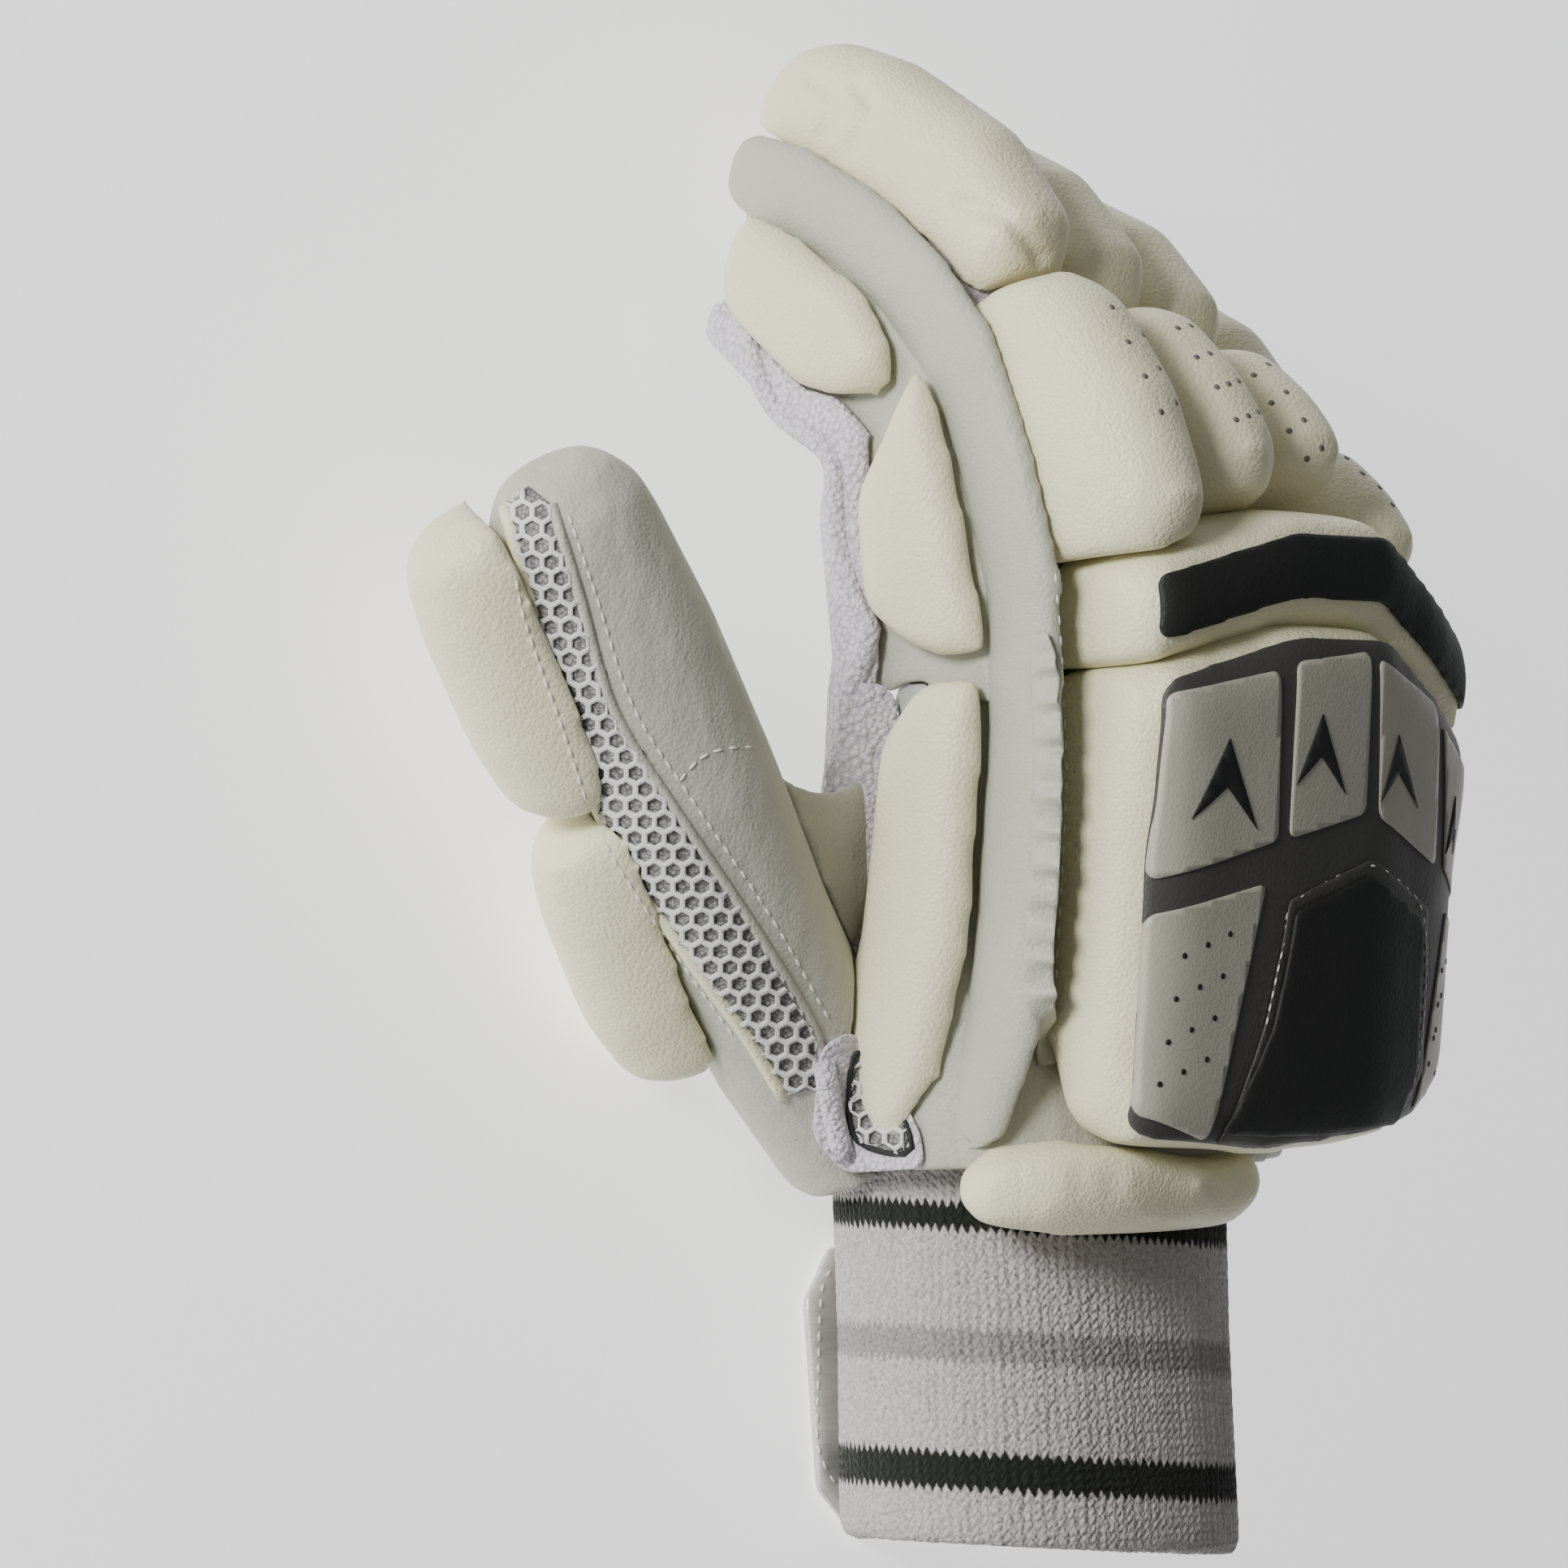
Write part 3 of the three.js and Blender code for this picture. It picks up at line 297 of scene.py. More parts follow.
# %% [markdown]
# The pads are covered in coated leather: a creamy white with very fine pebbles, slightly yellower
# in broad clouds, a soft gloss and faint rubbed marks. They are worked out in space, because a
# picture of leather would need a flat layout of every pad. The same recipe with other colours
# makes the thin white leather, the grey palm leather and the black trim.

# %% Leathers
CLOUDS = {"scale": 0.035, "detail": 3}
SPECKS = {"scale": 1.1, "detail": 2}
RUBBING = {"scale": 0.16, "detail": 4}
CREASING = {"scale": 0.22, "detail": 3}
CREASE_STRETCH = (1, 0.45, 1)
CLOUD_SHARE = 0.75
GLOSS_SPREAD = 0.14


def leather(name, colour, cloud, roughness, pebble, depth, crease=0.25):
    """Coated leather with so many pebbles to a millimetre, and the depth of pebbles and creases."""
    finish = Finish(name, colour, roughness)
    clouds = finish.noise(**CLOUDS).step(0.35, 0.7)
    specks = finish.noise(**SPECKS).step(0.3, 0.75)
    tint = (clouds * CLOUD_SHARE + specks * (1 - CLOUD_SHARE)).clip()
    finish.paint("Base Color", finish.mix(tint, colour, cloud))
    finish.paint("Roughness", roughness - GLOSS_SPREAD / 2 + GLOSS_SPREAD * finish.noise(**RUBBING))
    pebbles = 1 - finish.cells(pebble)
    creases = finish.noise(**CREASING, of=finish.stretched(CREASE_STRETCH))
    finish.bump(pebbles * depth + creases * crease, 1)
    return finish.material


CREAM = leather(
    "cream_leather", (0.80, 0.765, 0.535), (0.75, 0.70, 0.465), roughness=0.46, pebble=1.5, depth=0.13
)
WHITE = leather(
    "white_leather", (0.465, 0.465, 0.385), (0.415, 0.415, 0.335), roughness=0.5, pebble=1.6, depth=0.1,
    crease=0.55,
)
PALM = leather(
    "palm_leather", (0.40, 0.41, 0.38), (0.34, 0.35, 0.325), roughness=0.6, pebble=1.1, depth=0.15,
    crease=0.6,
)
BLACK = leather(
    "black_leather", (0.006, 0.0075, 0.0055), (0.010, 0.011, 0.008), roughness=0.66, pebble=1.3,
    depth=0.07, crease=0.1,
)
DOT = leather(
    "grey_dots", (0.13, 0.127, 0.12), (0.16, 0.155, 0.145), roughness=0.55, pebble=1.3, depth=0.03,
    crease=0.1,
)
WINDOW = leather(
    "window_leather", (0.43, 0.41, 0.33), (0.39, 0.37, 0.295), roughness=0.45, pebble=1.7, depth=0.045,
    crease=0.08,
)
PRINT = leather(
    "printed_grey", (0.046, 0.044, 0.039), (0.06, 0.058, 0.051), roughness=0.55, pebble=1.3, depth=0.05,
    crease=0.1,
)
LEATHERS = (CREAM, WHITE, PALM, BLACK, DOT, WINDOW, PRINT)
print("leathers:", ", ".join(made.name for made in LEATHERS))

# %% [markdown]
# Towelling is a field of short loops, so it scatters light and never shines. Loops of real thread
# would be far too many, so lumps of two sizes give them as relief, and a little sheen gives the
# pale fuzz along the edges. The colour darkens from the loops' tips to their roots, as painted
# shade in the hollows between the loops.

# %% Towelling
LOOP_SCALE = 0.95
LOOP_TIP, LOOP_ROOT_SHADE = (0.80, 0.76, 0.82), (0.50, 0.47, 0.52)


def towelling():
    finish = Finish("towelling", (0.72, 0.68, 0.74), 0.95, Sheen_Weight=0.5, Sheen_Roughness=0.5)
    loops = finish.cells(LOOP_SCALE)
    # Painted shade: the loops' roots, where the relief is low, take a darker colour than their tips.
    finish.paint("Base Color", finish.mix(loops.step(0.15, 0.8), LOOP_TIP, LOOP_ROOT_SHADE))
    finish.bump((1 - loops) * 0.8 + finish.noise(2.2, 2) * 0.4, 0.9)
    return finish.material


TOWEL = towelling()
print("loops to a millimetre of towelling:", LOOP_SCALE)

# %% [markdown]
# The cuff is a knitted tube. Its columns run along the arm and its rows round it, so the pattern
# follows the angle round the tube and the length along it. The stripes have the zigzag edge that
# a row of knitted stitches gives, which a triangle wave of the column makes.

# %% Knit
KNIT_COLUMNS = 118
KNIT_ROW = 1.4
KNIT_SLOPE = 0.125
LEG_SLANT = 0.55
ZIGZAG = 1.3
STRIPE_SHIFT = 1.5
STRIPE_BLUR = 0.3
YARN, YARN_SHADE = (0.54, 0.505, 0.485), (0.32, 0.295, 0.28)
STRIPE_YARN = (0.005, 0.007, 0.003)
STRIPES = (
    {"at": 52.0, "half": 2.1, "strength": 1.0},
    {"at": 31.5, "half": 2.6, "strength": 0.42},
    {"at": 11.5, "half": 2.9, "strength": 1.0},
)


def knit():
    finish = Finish("knit", (0.6, 0.56, 0.55), 0.92, Sheen_Weight=0.04, Sheen_Roughness=0.5)
    local = finish.node("ShaderNodeTexCoord", out="Object")
    x = (finish.axis("X", local) - cuff_x) * METRE / CUFF_WIDTH
    z = (finish.axis("Z", local) - cuff_z) * METRE / CUFF_DEPTH
    along = (finish.axis("Y", local) - cuff_low.y) * METRE
    slope = x * (CUFF_WIDTH * KNIT_SLOPE * ACROSS.x) + z * (CUFF_DEPTH * KNIT_SLOPE * ACROSS.z)
    column = x.sum("ARCTAN2", z) * (KNIT_COLUMNS / (2 * math.pi))
    across = abs(column - column.sum("ROUND")) * 2
    legs = along / KNIT_ROW + across * LEG_SLANT
    stitch = abs(legs - legs.sum("ROUND")) * 2
    rough_edge = slope + across * ZIGZAG + finish.noise(0.9, 2) * ZIGZAG
    dark = None
    for stripe in STRIPES:
        off = abs(along + rough_edge - STRIPE_SHIFT - stripe["at"])
        faded = off.step(stripe["half"] - STRIPE_BLUR, stripe["half"] + STRIPE_BLUR)
        band = (1 - faded) * stripe["strength"]
        dark = band if dark is None else dark.sum("MAXIMUM", band)
    yarn = finish.mix(finish.noise(1.6, 2).step(0.35, 0.75), YARN, YARN_SHADE)
    finish.paint("Base Color", finish.mix(dark, yarn, STRIPE_YARN))
    finish.bump((1 - stitch) * 0.3 + (1 - across) * 0.2 + (1 - finish.cells(1.1)) * 0.6, 0.6)
    return finish.material


KNIT = knit()
print("knit columns:", KNIT_COLUMNS, "stripes:", len(STRIPES))

# %% [markdown]
# The strap is silver grey vinyl with a fine brushed grain, a little metallic. The air mesh on the
# thumb is a pale net of matt threads over a darker weave, whose gaps carry painted shade. The
# seams are sewn with a thick, slightly yellow thread.

# %% Vinyl, mesh and sewing thread
VINYL_LOW, VINYL_HIGH = (0.54, 0.53, 0.50), (0.67, 0.66, 0.62)
WEAVE_TOP, WEAVE_GAP_SHADE = (0.36, 0.355, 0.34), (0.13, 0.127, 0.12)
THREAD_LIGHT, THREAD_SHADE = (0.84, 0.82, 0.74), (0.68, 0.66, 0.59)


def vinyl():
    finish = Finish("vinyl", (0.27, 0.26, 0.245), 0.4, Metallic=0.35)
    brushed = finish.noise(0.9, 4, finish.stretched((0.25, 2.2, 1)))
    finish.paint("Base Color", finish.mix(brushed.step(0.3, 0.7), VINYL_LOW, VINYL_HIGH))
    finish.paint("Roughness", 0.34 + 0.16 * brushed)
    finish.bump(brushed, 0.06)
    return finish.material


def mesh_thread():
    finish = Finish("mesh_thread", (0.66, 0.66, 0.64), 0.8, Sheen_Weight=0.2)
    finish.bump(finish.noise(3, 2), 0.2)
    return finish.material


def mesh_backing():
    finish = Finish("mesh_backing", (0.24, 0.235, 0.22), 0.9)
    weave = finish.cells(1.5)
    # Painted shade: the gaps between the weave's raised threads, where the relief is low, are painted
    # darker.
    finish.paint("Base Color", finish.mix(weave.step(0.15, 0.7), WEAVE_TOP, WEAVE_GAP_SHADE))
    finish.bump(1 - weave, 0.3)
    return finish.material


def thread():
    finish = Finish("thread", (0.80, 0.78, 0.70), 0.7)
    fibres = finish.noise(3.5, 2)
    finish.paint("Base Color", finish.mix(fibres.step(0.3, 0.7), THREAD_LIGHT, THREAD_SHADE))
    finish.bump(fibres, 0.08)
    return finish.material


VINYL = vinyl()
MESH_BACK = mesh_backing()
THREAD = thread()
MESH_THREAD = mesh_thread()
print("also made:", ", ".join(made.name for made in (VINYL, MESH_BACK, THREAD, MESH_THREAD)))

# %% [markdown]
# Every cover starts as a merged copy of its solid, which keeps its size. A voxel remesh turns the
# flat facets into an even net of small squares, which can be smoothed, swollen or moved.

# %% Nets over the solids
SOLID_MERGE = 0.02
SMOOTHING = 0.5


def solid_copy(node):
    shape = bmesh.new()
    shape.from_mesh(NODES[node].data)
    bmesh.ops.remove_doubles(shape, verts=shape.verts, dist=SOLID_MERGE * MM)
    return shape


def remeshed(shape, voxel):
    """The same shape as an even net of squares."""
    mesh = mesh_of(shape, "net")
    holder = linked("net", mesh)
    remesh = holder.modifiers.new("remesh", "REMESH")
    remesh.mode = "VOXEL"
    remesh.voxel_size = voxel * MM
    bpy.context.view_layer.update()
    net = bmesh.new()
    net.from_object(holder, bpy.context.evaluated_depsgraph_get())
    bpy.data.objects.remove(holder)
    bpy.data.meshes.remove(mesh)
    return net


def smoothed(shape, times):
    for _ in range(times):
        bmesh.ops.smooth_vert(
            shape, verts=shape.verts, factor=SMOOTHING, use_axis_x=True, use_axis_y=True, use_axis_z=True
        )
    return shape


def moved(shape, rule):
    """Moves every point by what a rule gives for it."""
    shape.normal_update()
    for v, move in [(v, rule(v)) for v in shape.verts]:
        v.co += move
    return shape


def grown(shape, amount):
    """Moves every point along its normal, by so many millimetres."""
    return moved(shape, lambda v: v.normal * amount * MM)


def widened(shape, amount, across):
    """Moves every point along its normal, but not in one direction."""
    return moved(shape, lambda v: (v.normal - across * v.normal.dot(across)) * amount * MM)


def together(shapes):
    """Several shapes as one."""
    whole = bmesh.new()
    for shape in shapes:
        mesh = mesh_of(shape, "part")
        whole.from_mesh(mesh)
        bpy.data.meshes.remove(mesh)
    return whole


def piece_of(shape, name, material, slot, *nodes, subdivide=0):
    """Turns a shape into a finished piece that stands for its solids."""
    shape.normal_update()
    mesh = mesh_of(shape, name)
    mesh.shade_smooth()
    mesh.materials.append(material)
    piece = linked(name, mesh)
    if subdivide:
        net = piece.modifiers.new("subdivision", "SUBSURF")
        net.levels = net.render_levels = subdivide
    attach(piece, BODY)
    if nodes:
        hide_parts(*nodes)
    return piece


print("solids to cover:", len(NODES), "on body", BODY)

# %% [markdown]
# The padded pieces are foam sewn into leather. A few pads show fuller on the photograph than their
# solids are, so they are drawn out along the picture's right or up: the size is a factor, and the
# hold is the share of the pad's length, from its low end, that stays where it is. The roll near
# the index fingertip also shows three soft creases, each read from the photograph as a path.

# %% The pads and their creases
OUTER_PADS = ("side_pad_wrist", "side_pad_middle", "side_pad_tip", "thumb_pad_tip", "thumb_pad_wrist")
NEAR_ROLLS = {"index": 1.02, "middle": 1.06, "ring": 1.1, "little": 1.14}
PADS = {
    **{
        f"{finger}_roll_near": {
            "voxel": 2.2,
            "drawn": (
                {"axis": right, "size": 1.1, "hold": 1.0},
                {"axis": up, "size": longer, "hold": 1.0},
            ),
        }
        for finger, longer in NEAR_ROLLS.items()
    },
    **{f"{finger}_roll_far": {"voxel": 1.5} for finger in FINGERS},
    "knuckle_bar": {"voxel": 2.4, "drawn": ({"axis": up, "size": 1.08, "hold": 1.0},)},
    "back_pad": {"voxel": 3.0},
    "wrist_roll": {
        "voxel": 2.4,
        "drawn": (
            {"axis": right, "size": 0.88, "hold": 0.0},
            {"axis": up, "size": 1.35, "hold": 0.35},
        ),
    },
    **{pad: {"voxel": 1.9} for pad in OUTER_PADS},
}
CREASES = {
    "index_roll_far": (
        ((1000, 95), (1026, 118), (1020, 150), (1010, 172)),
        ((1055, 105), (1072, 135), (1058, 165), (1044, 188)),
        ((1180, 250), (1240, 268), (1285, 320)),
    ),
}
CREASE_DEPTH, CREASE_WIDTH, CREASE_REACH = 1.5, 1.1, 3
print("pads:", len(PADS), "with creases:", len(CREASES))

# %% [markdown]
# A place on the photograph is a ray in the scene, and a crease, a seam or a print belongs where
# that ray meets a cover. A ray that passes beside it takes the nearest place on it. A smooth curve
# through a few places gives even steps along a seam.

# %% From the photograph to a surface
FAR_ABOVE = 0.2
NEAREST_TRIES = 9
CURVE_STEPS = 12


def seen(*pixels):
    """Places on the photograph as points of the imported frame."""
    return [HAND @ on_photo(px, py) for px, py in pixels]


def landed(point, tree, toward=None):
    """Place and normal where a ray through a point meets a surface, or passes nearest to it."""
    heading = toward or (point - eye).normalized()
    start = point - heading * FAR_ABOVE if toward else eye
    hit, normal, _, _ = tree.ray_cast(start, heading)
    if hit:
        return hit, normal
    for _ in range(NEAREST_TRIES):
        near, normal, _, _ = tree.find_nearest(point)
        point = start + heading * (near - start).dot(heading)
    return near, normal


def evenly(points, step):
    """Even steps along a smooth curve through some points."""
    ends = [points[0] * 2 - points[1], *points, points[-1] * 2 - points[-2]]
    fine = []
    for a, b, c, d in zip(ends, ends[1:], ends[2:], ends[3:]):
        for i in range(CURVE_STEPS):
            t = i / CURVE_STEPS
            fine.append((
                b * 2 + (c - a) * t
                + (a * 2 - b * 5 + c * 4 - d) * t * t
                + (b * 3 - a - c * 3 + d) * t ** 3
            ) / 2)
    fine.append(points[-1])
    length = sum((q - p).length for p, q in zip(fine, fine[1:]))
    count = max(1, round(length / (step * MM)))
    spaced, gone = [fine[0]], 0
    for p, q in zip(fine, fine[1:]):
        leg = (q - p).length
        while leg and len(spaced) < count and gone + leg >= length * len(spaced) / count:
            spaced.append(p.lerp(q, (length * len(spaced) / count - gone) / leg))
        gone += leg
    return spaced + [fine[-1]]


def creased(shape, path):
    """Presses a soft crease into a cover along a path."""
    tree = BVHTree.FromBMesh(shape)
    line = [landed(point, tree)[0] for point in evenly(path, 1.0)]

    def pressed(v):
        near = min((v.co - place).length for place in line) / MM
        share = math.exp(-((near / CREASE_WIDTH) ** 2)) if near < CREASE_WIDTH * CREASE_REACH else 0
        return -(v.normal * CREASE_DEPTH * MM * share)

    return moved(shape, pressed)


def drawn_out(shape, axis, size, hold):
    """Makes a shape longer or shorter along an axis, and holds it at one share of its length."""
    reach = [v.co.dot(axis) for v in shape.verts]
    fixed = min(reach) + (max(reach) - min(reach)) * hold
    for v in shape.verts:
        v.co += axis * (v.co.dot(axis) - fixed) * (size - 1)
    return shape


print("one pixel of the photograph is", round(1 / PIXELS_PER_MM, 3), "mm of the glove")

# %% [markdown]
# Foam pads are round because the leather is pulled tight over them, and smoothing alone makes a pad
# look like worn soap. So each one starts a little smaller than its solid, and a cloth simulation
# with pressure inside swells it until its cover is tight. A cap on how far a point may move keeps
# it clear of its neighbours, and one subdivision then rounds it.

# %% Padded pieces
START_INSET = 0.4
SWELL_CAP = 1.1
SWELL_FRAMES = 20
PRESSURE = 4
CLOTH_MASS = 0.15
EASE_BEFORE, EASE_AFTER = 2, 5


def swollen(shapes):
    """Swells all the shapes in one cloth simulation."""
    holders = {}
    for name, shape in shapes.items():
        mesh = bpy.data.meshes.new(name)
        shape.to_mesh(mesh)
        holder = linked(name, mesh)
        cloth = holder.modifiers.new("cloth", "CLOTH")
        cloth.settings.use_pressure = True
        cloth.settings.uniform_pressure_force = PRESSURE
        cloth.settings.effector_weights.gravity = 0
        cloth.settings.mass = CLOTH_MASS
        cloth.collision_settings.use_collision = False
        cloth.point_cache.frame_start = 1
        cloth.point_cache.frame_end = SWELL_FRAMES
        holders[name] = holder
    for moment in range(1, SWELL_FRAMES + 1):
        scene.frame_set(moment)
    depsgraph = bpy.context.evaluated_depsgraph_get()
    for name, holder in holders.items():
        puffed = holder.evaluated_get(depsgraph).data
        shape = shapes[name]
        shape.verts.ensure_lookup_table()
        for v, w in zip(shape.verts, puffed.vertices):
            move = w.co - v.co
            if move.length > SWELL_CAP * MM:
                move *= SWELL_CAP * MM / move.length
            v.co += move
        mesh = holder.data
        bpy.data.objects.remove(holder)
        bpy.data.meshes.remove(mesh)
    scene.frame_set(1)


pad_shapes = {}
for node, pad in PADS.items():
    net = smoothed(remeshed(solid_copy(node), pad["voxel"]), EASE_BEFORE)
    pad_shapes[node] = grown(net, -START_INSET)
swollen(pad_shapes)
PAD_PIECES = {}
for node, shape in pad_shapes.items():
    smoothed(shape, EASE_AFTER)
    for change in PADS[node].get("drawn", ()):
        drawn_out(shape, **change)
    for crease in CREASES.get(node, ()):
        creased(shape, seen(*crease))
    PAD_PIECES[node] = piece_of(shape, f"{node}_cover", CREAM, "cream_leather", node, subdivide=1)
print("padded pieces:", len(PAD_PIECES))

# %% [markdown]
# The thin walls are cut and sewn cloth and leather. They only need their facets eased: a finer net
# and several rounds of smoothing turn them into curved walls with soft edges. Walls that are sewn
# to each other are grown until they touch and become one net, so that no slit shows between them.

# %% Thin walls
PALM_LOOK = {"finish": PALM, "slot": "palm_leather"}
TOWEL_LOOK = {"finish": TOWEL, "slot": "towelling"}
WHITE_LOOK = {"finish": WHITE, "slot": "white_leather"}
SEAM_CLOSING = 0.4
WALLS = (
    *({"nodes": (f"{finger}_front",), "voxel": 0.9, "ease": 9, **PALM_LOOK} for finger in FINGERS),
    *({"nodes": (f"{finger}_gusset",), "voxel": 1.0, "ease": 9, **TOWEL_LOOK} for finger in FINGERS),
    *({"nodes": (f"{finger}_tip_cap",), "voxel": 0.8, "ease": 6, **WHITE_LOOK} for finger in FINGERS),
    {"nodes": ("palm_leather",), "voxel": 1.0, "ease": 12, **PALM_LOOK},
    {"nodes": ("hand_back", "side_backing"), "voxel": 1.0, "ease": 9, **WHITE_LOOK},
    {"nodes": ("side_gusset",), "voxel": 0.9, "ease": 8, "widen": 1.0, **TOWEL_LOOK},
    {"nodes": ("side_channel",), "voxel": 0.9, "ease": 14, "widen": 2.6, **WHITE_LOOK},
    {
        "nodes": ("thumb_back", "thumb_leather", "thumb_tip_cap"), "with": ("thumb_mesh",),
        "voxel": 0.9, "ease": 10, **WHITE_LOOK,
    },
    {"nodes": ("thumb_web",), "voxel": 0.9, "ease": 6, **WHITE_LOOK},
)
WALL_PIECES = {}
for wall in WALLS:
    shapes = [solid_copy(node) for node in wall["nodes"] + wall.get("with", ())]
    if len(shapes) > 1:
        shapes = [grown(shape, SEAM_CLOSING) for shape in shapes]
    net = remeshed(together(shapes), wall["voxel"])
    if "widen" in wall:
        widened(net, wall["widen"], HAND_RIGHT)
    smoothed(net, wall["ease"])
    first = wall["nodes"][0]
    WALL_PIECES[first] = piece_of(net, f"{first}_wall", wall["finish"], wall["slot"], *wall["nodes"])
print("thin walls:", len(WALL_PIECES))

# %% [markdown]
# The cuff's knit is thick enough to see as relief, so its points are moved in and out by the same
# columns that the material uses. Its open end slants in the photograph, so the tube is tilted from
# its tucked end. The strap is flat vinyl, and a few rounds of smoothing soften its cut edges.

# %% Cuff and strap
CUFF_VOXEL, CUFF_EASE = 0.9, 6
STRAP_VOXEL, STRAP_EASE = 0.9, 3
RIB_DEPTH = 0.1


def rib(v):
    """How far a point of the cuff stands out, by its knitted column and row."""
    turned = math.atan2((v.co.x - cuff_x) / CUFF_WIDTH, (v.co.z - cuff_z) / CUFF_DEPTH) * KNIT_COLUMNS
    row = (v.co.y - cuff_low.y) / MM / KNIT_ROW * math.pi
    return v.normal * RIB_DEPTH * MM * (math.cos(turned) + 0.5 * math.cos(row))


def sloped(shape, slope):
    """Tilts the open end of the cuff and leaves its tucked end."""
    middle = (cuff_low + cuff_high) / 2
    for v in shape.verts:
        share = (v.co.y - cuff_low.y) / (cuff_high.y - cuff_low.y)
        v.co.y -= slope * (1 - share) * (v.co - middle).dot(right)
    return shape


cuff_net = smoothed(remeshed(solid_copy("knit_cuff"), CUFF_VOXEL), CUFF_EASE)
cuff_net = sloped(moved(cuff_net, rib), KNIT_SLOPE)
cuff = piece_of(cuff_net, "knit_cuff_tube", KNIT, "knit", "knit_cuff")
strap_net = smoothed(remeshed(solid_copy("wrist_strap"), STRAP_VOXEL), STRAP_EASE)
strap = piece_of(strap_net, "wrist_strap_vinyl", VINYL, "vinyl", "wrist_strap")
print("cuff points:", len(cuff.data.vertices), "strap points:", len(strap.data.vertices))

# %% [markdown]
# Trim is laid on what carries it. Its outline is a flat sheet, drawn from places on the photograph
# or taken from the upper faces of its solid. Rays then carry it down, so that it follows every
# swelling of the pad below by itself.

# %% Sheets for trim
DOWN = -HAND_UP
UPPER_FACE = 0.5
PLAN_HEIGHT = 100
FLAT_ANGLE = math.radians(6)


def surface_of(*pieces):
    """Finished surfaces of some pieces, ready for rays."""
    depsgraph = bpy.context.evaluated_depsgraph_get()
    whole = bmesh.new()
    for piece in pieces:
        net = bpy.data.meshes.new_from_object(piece.evaluated_get(depsgraph))
        whole.from_mesh(net)
        bpy.data.meshes.remove(net)
    tree = BVHTree.FromBMesh(whole)
    whole.free()
    return tree


def top_sheet(node):
    """Upper faces of a solid as one open sheet."""
    shape = solid_copy(node)
    lower = [face for face in shape.faces if face.normal.dot(HAND_UP) < UPPER_FACE]
    bmesh.ops.delete(shape, geom=lower, context="FACES")
    return shape


def levelled(shape):
    """Flattens a sheet on a level above the hand."""
    level = HAND @ Vector((0, 0, PLAN_HEIGHT))
    for v in shape.verts:
        v.co -= HAND_UP * (v.co - level).dot(HAND_UP)
    return shape


def rounded(sheet, rounding, clamp=False):
    """Rounds the corners of a flat sheet."""
    bmesh.ops.bevel(
        sheet, geom=sheet.verts, offset=rounding * MM, offset_type="OFFSET", segments=4,
        profile=0.5, affect="VERTICES", material=-1, clamp_overlap=clamp,
    )
    return sheet


def plan_of(node, rounding):
    """Outline of a plate as it shows from above, as one flat face with rounded corners."""
    sheet = levelled(top_sheet(node))
    bmesh.ops.dissolve_limit(sheet, angle_limit=FLAT_ANGLE, verts=sheet.verts, edges=sheet.edges)
    return rounded(sheet, rounding, clamp=True)


def outlined(points, rounding=0):
    """Flat sheet inside an outline, with its corners rounded."""
    shape = bmesh.new()
    shape.faces.new([shape.verts.new(point) for point in points])
    return rounded(shape, rounding) if rounding else shape


def cornered(corners, tree, rounding=0):
    """Flat sheet over corners that are found on a surface, ready to be laid from above."""
    return levelled(outlined([landed(corner, tree)[0] for corner in corners], rounding))


print("sheets are levelled", PLAN_HEIGHT, "mm above the wrist")

# %% [markdown]
# A sheet is cut into small cells and each point follows its ray to the surface. Where a gap has to
# be bridged, as cloth would, each point takes the middle depth of its neighbours, but never goes
# below the surface. Then the sheet gets its thickness, on the side that the rays come from.

# %% Laying a plate
CUT_TOLERANCE = 1e-6
CELL_MERGE = 0.12
BRIDGE_SINK = 0.6


def thickened(sheet, tree, thickness, clear=0.05, toward=None):
    """Closed plate over an open sheet that lies on a surface, on the side that the rays come from."""
    upper = bmesh.ops.extrude_face_region(sheet, geom=sheet.faces[:])["geom"]
    raised = {v for v in upper if isinstance(v, bmesh.types.BMVert)}
    for v in sheet.verts:
        normal = tree.find_nearest(v.co)[1]
        if normal.dot(toward or v.co - eye) > 0:
            normal.negate()
        v.co += normal * (thickness if v in raised else clear) * MM
    bmesh.ops.recalc_face_normals(sheet, faces=sheet.faces)
    return sheet


def laid(sheet, tree, thickness, cell=2.0, toward=None, bridge=0):
    """Lays an open sheet on a surface, as a closed plate, along the camera's rays or one direction."""
    axes = (HAND_RIGHT, HAND_ALONG) if toward else (right, up)
    for axis in axes:
        reach = sorted(v.co.dot(axis) for v in sheet.verts)
        count = int((reach[-1] - reach[0]) / (cell * MM))
        for step in range(1, count + 1):
            cut = axis * (reach[0] + (reach[-1] - reach[0]) * step / (count + 1))
            whole = sheet.verts[:] + sheet.edges[:] + sheet.faces[:]
            bmesh.ops.bisect_plane(sheet, geom=whole, dist=CUT_TOLERANCE, plane_co=cut, plane_no=axis)
    bmesh.ops.remove_doubles(sheet, verts=sheet.verts, dist=CELL_MERGE * MM)
    facing = DOWN if toward else -back
    sheet.normal_update()
    if sum(face.normal.dot(facing) for face in sheet.faces) > 0:
        bmesh.ops.reverse_faces(sheet, faces=sheet.faces)
    headings = {v: toward or (v.co - eye).normalized() for v in sheet.verts}
    touching = {
        v: (landed(v.co, tree, toward)[0] - v.co).dot(heading) for v, heading in headings.items()
    }
    depths = touching
    for _ in range(bridge):
        around = {v: [depths[edge.other_vert(v)] for edge in v.link_edges] for v in sheet.verts}
        depths = {v: min(touching[v], sum(near) / len(near)) for v, near in around.items()}
    for v, heading in headings.items():
        v.co += heading * depths[v]
    if bridge:
        return thickened(sheet, BVHTree.FromBMesh(sheet), thickness, -BRIDGE_SINK, toward)
    return thickened(sheet, tree, thickness, toward=toward)


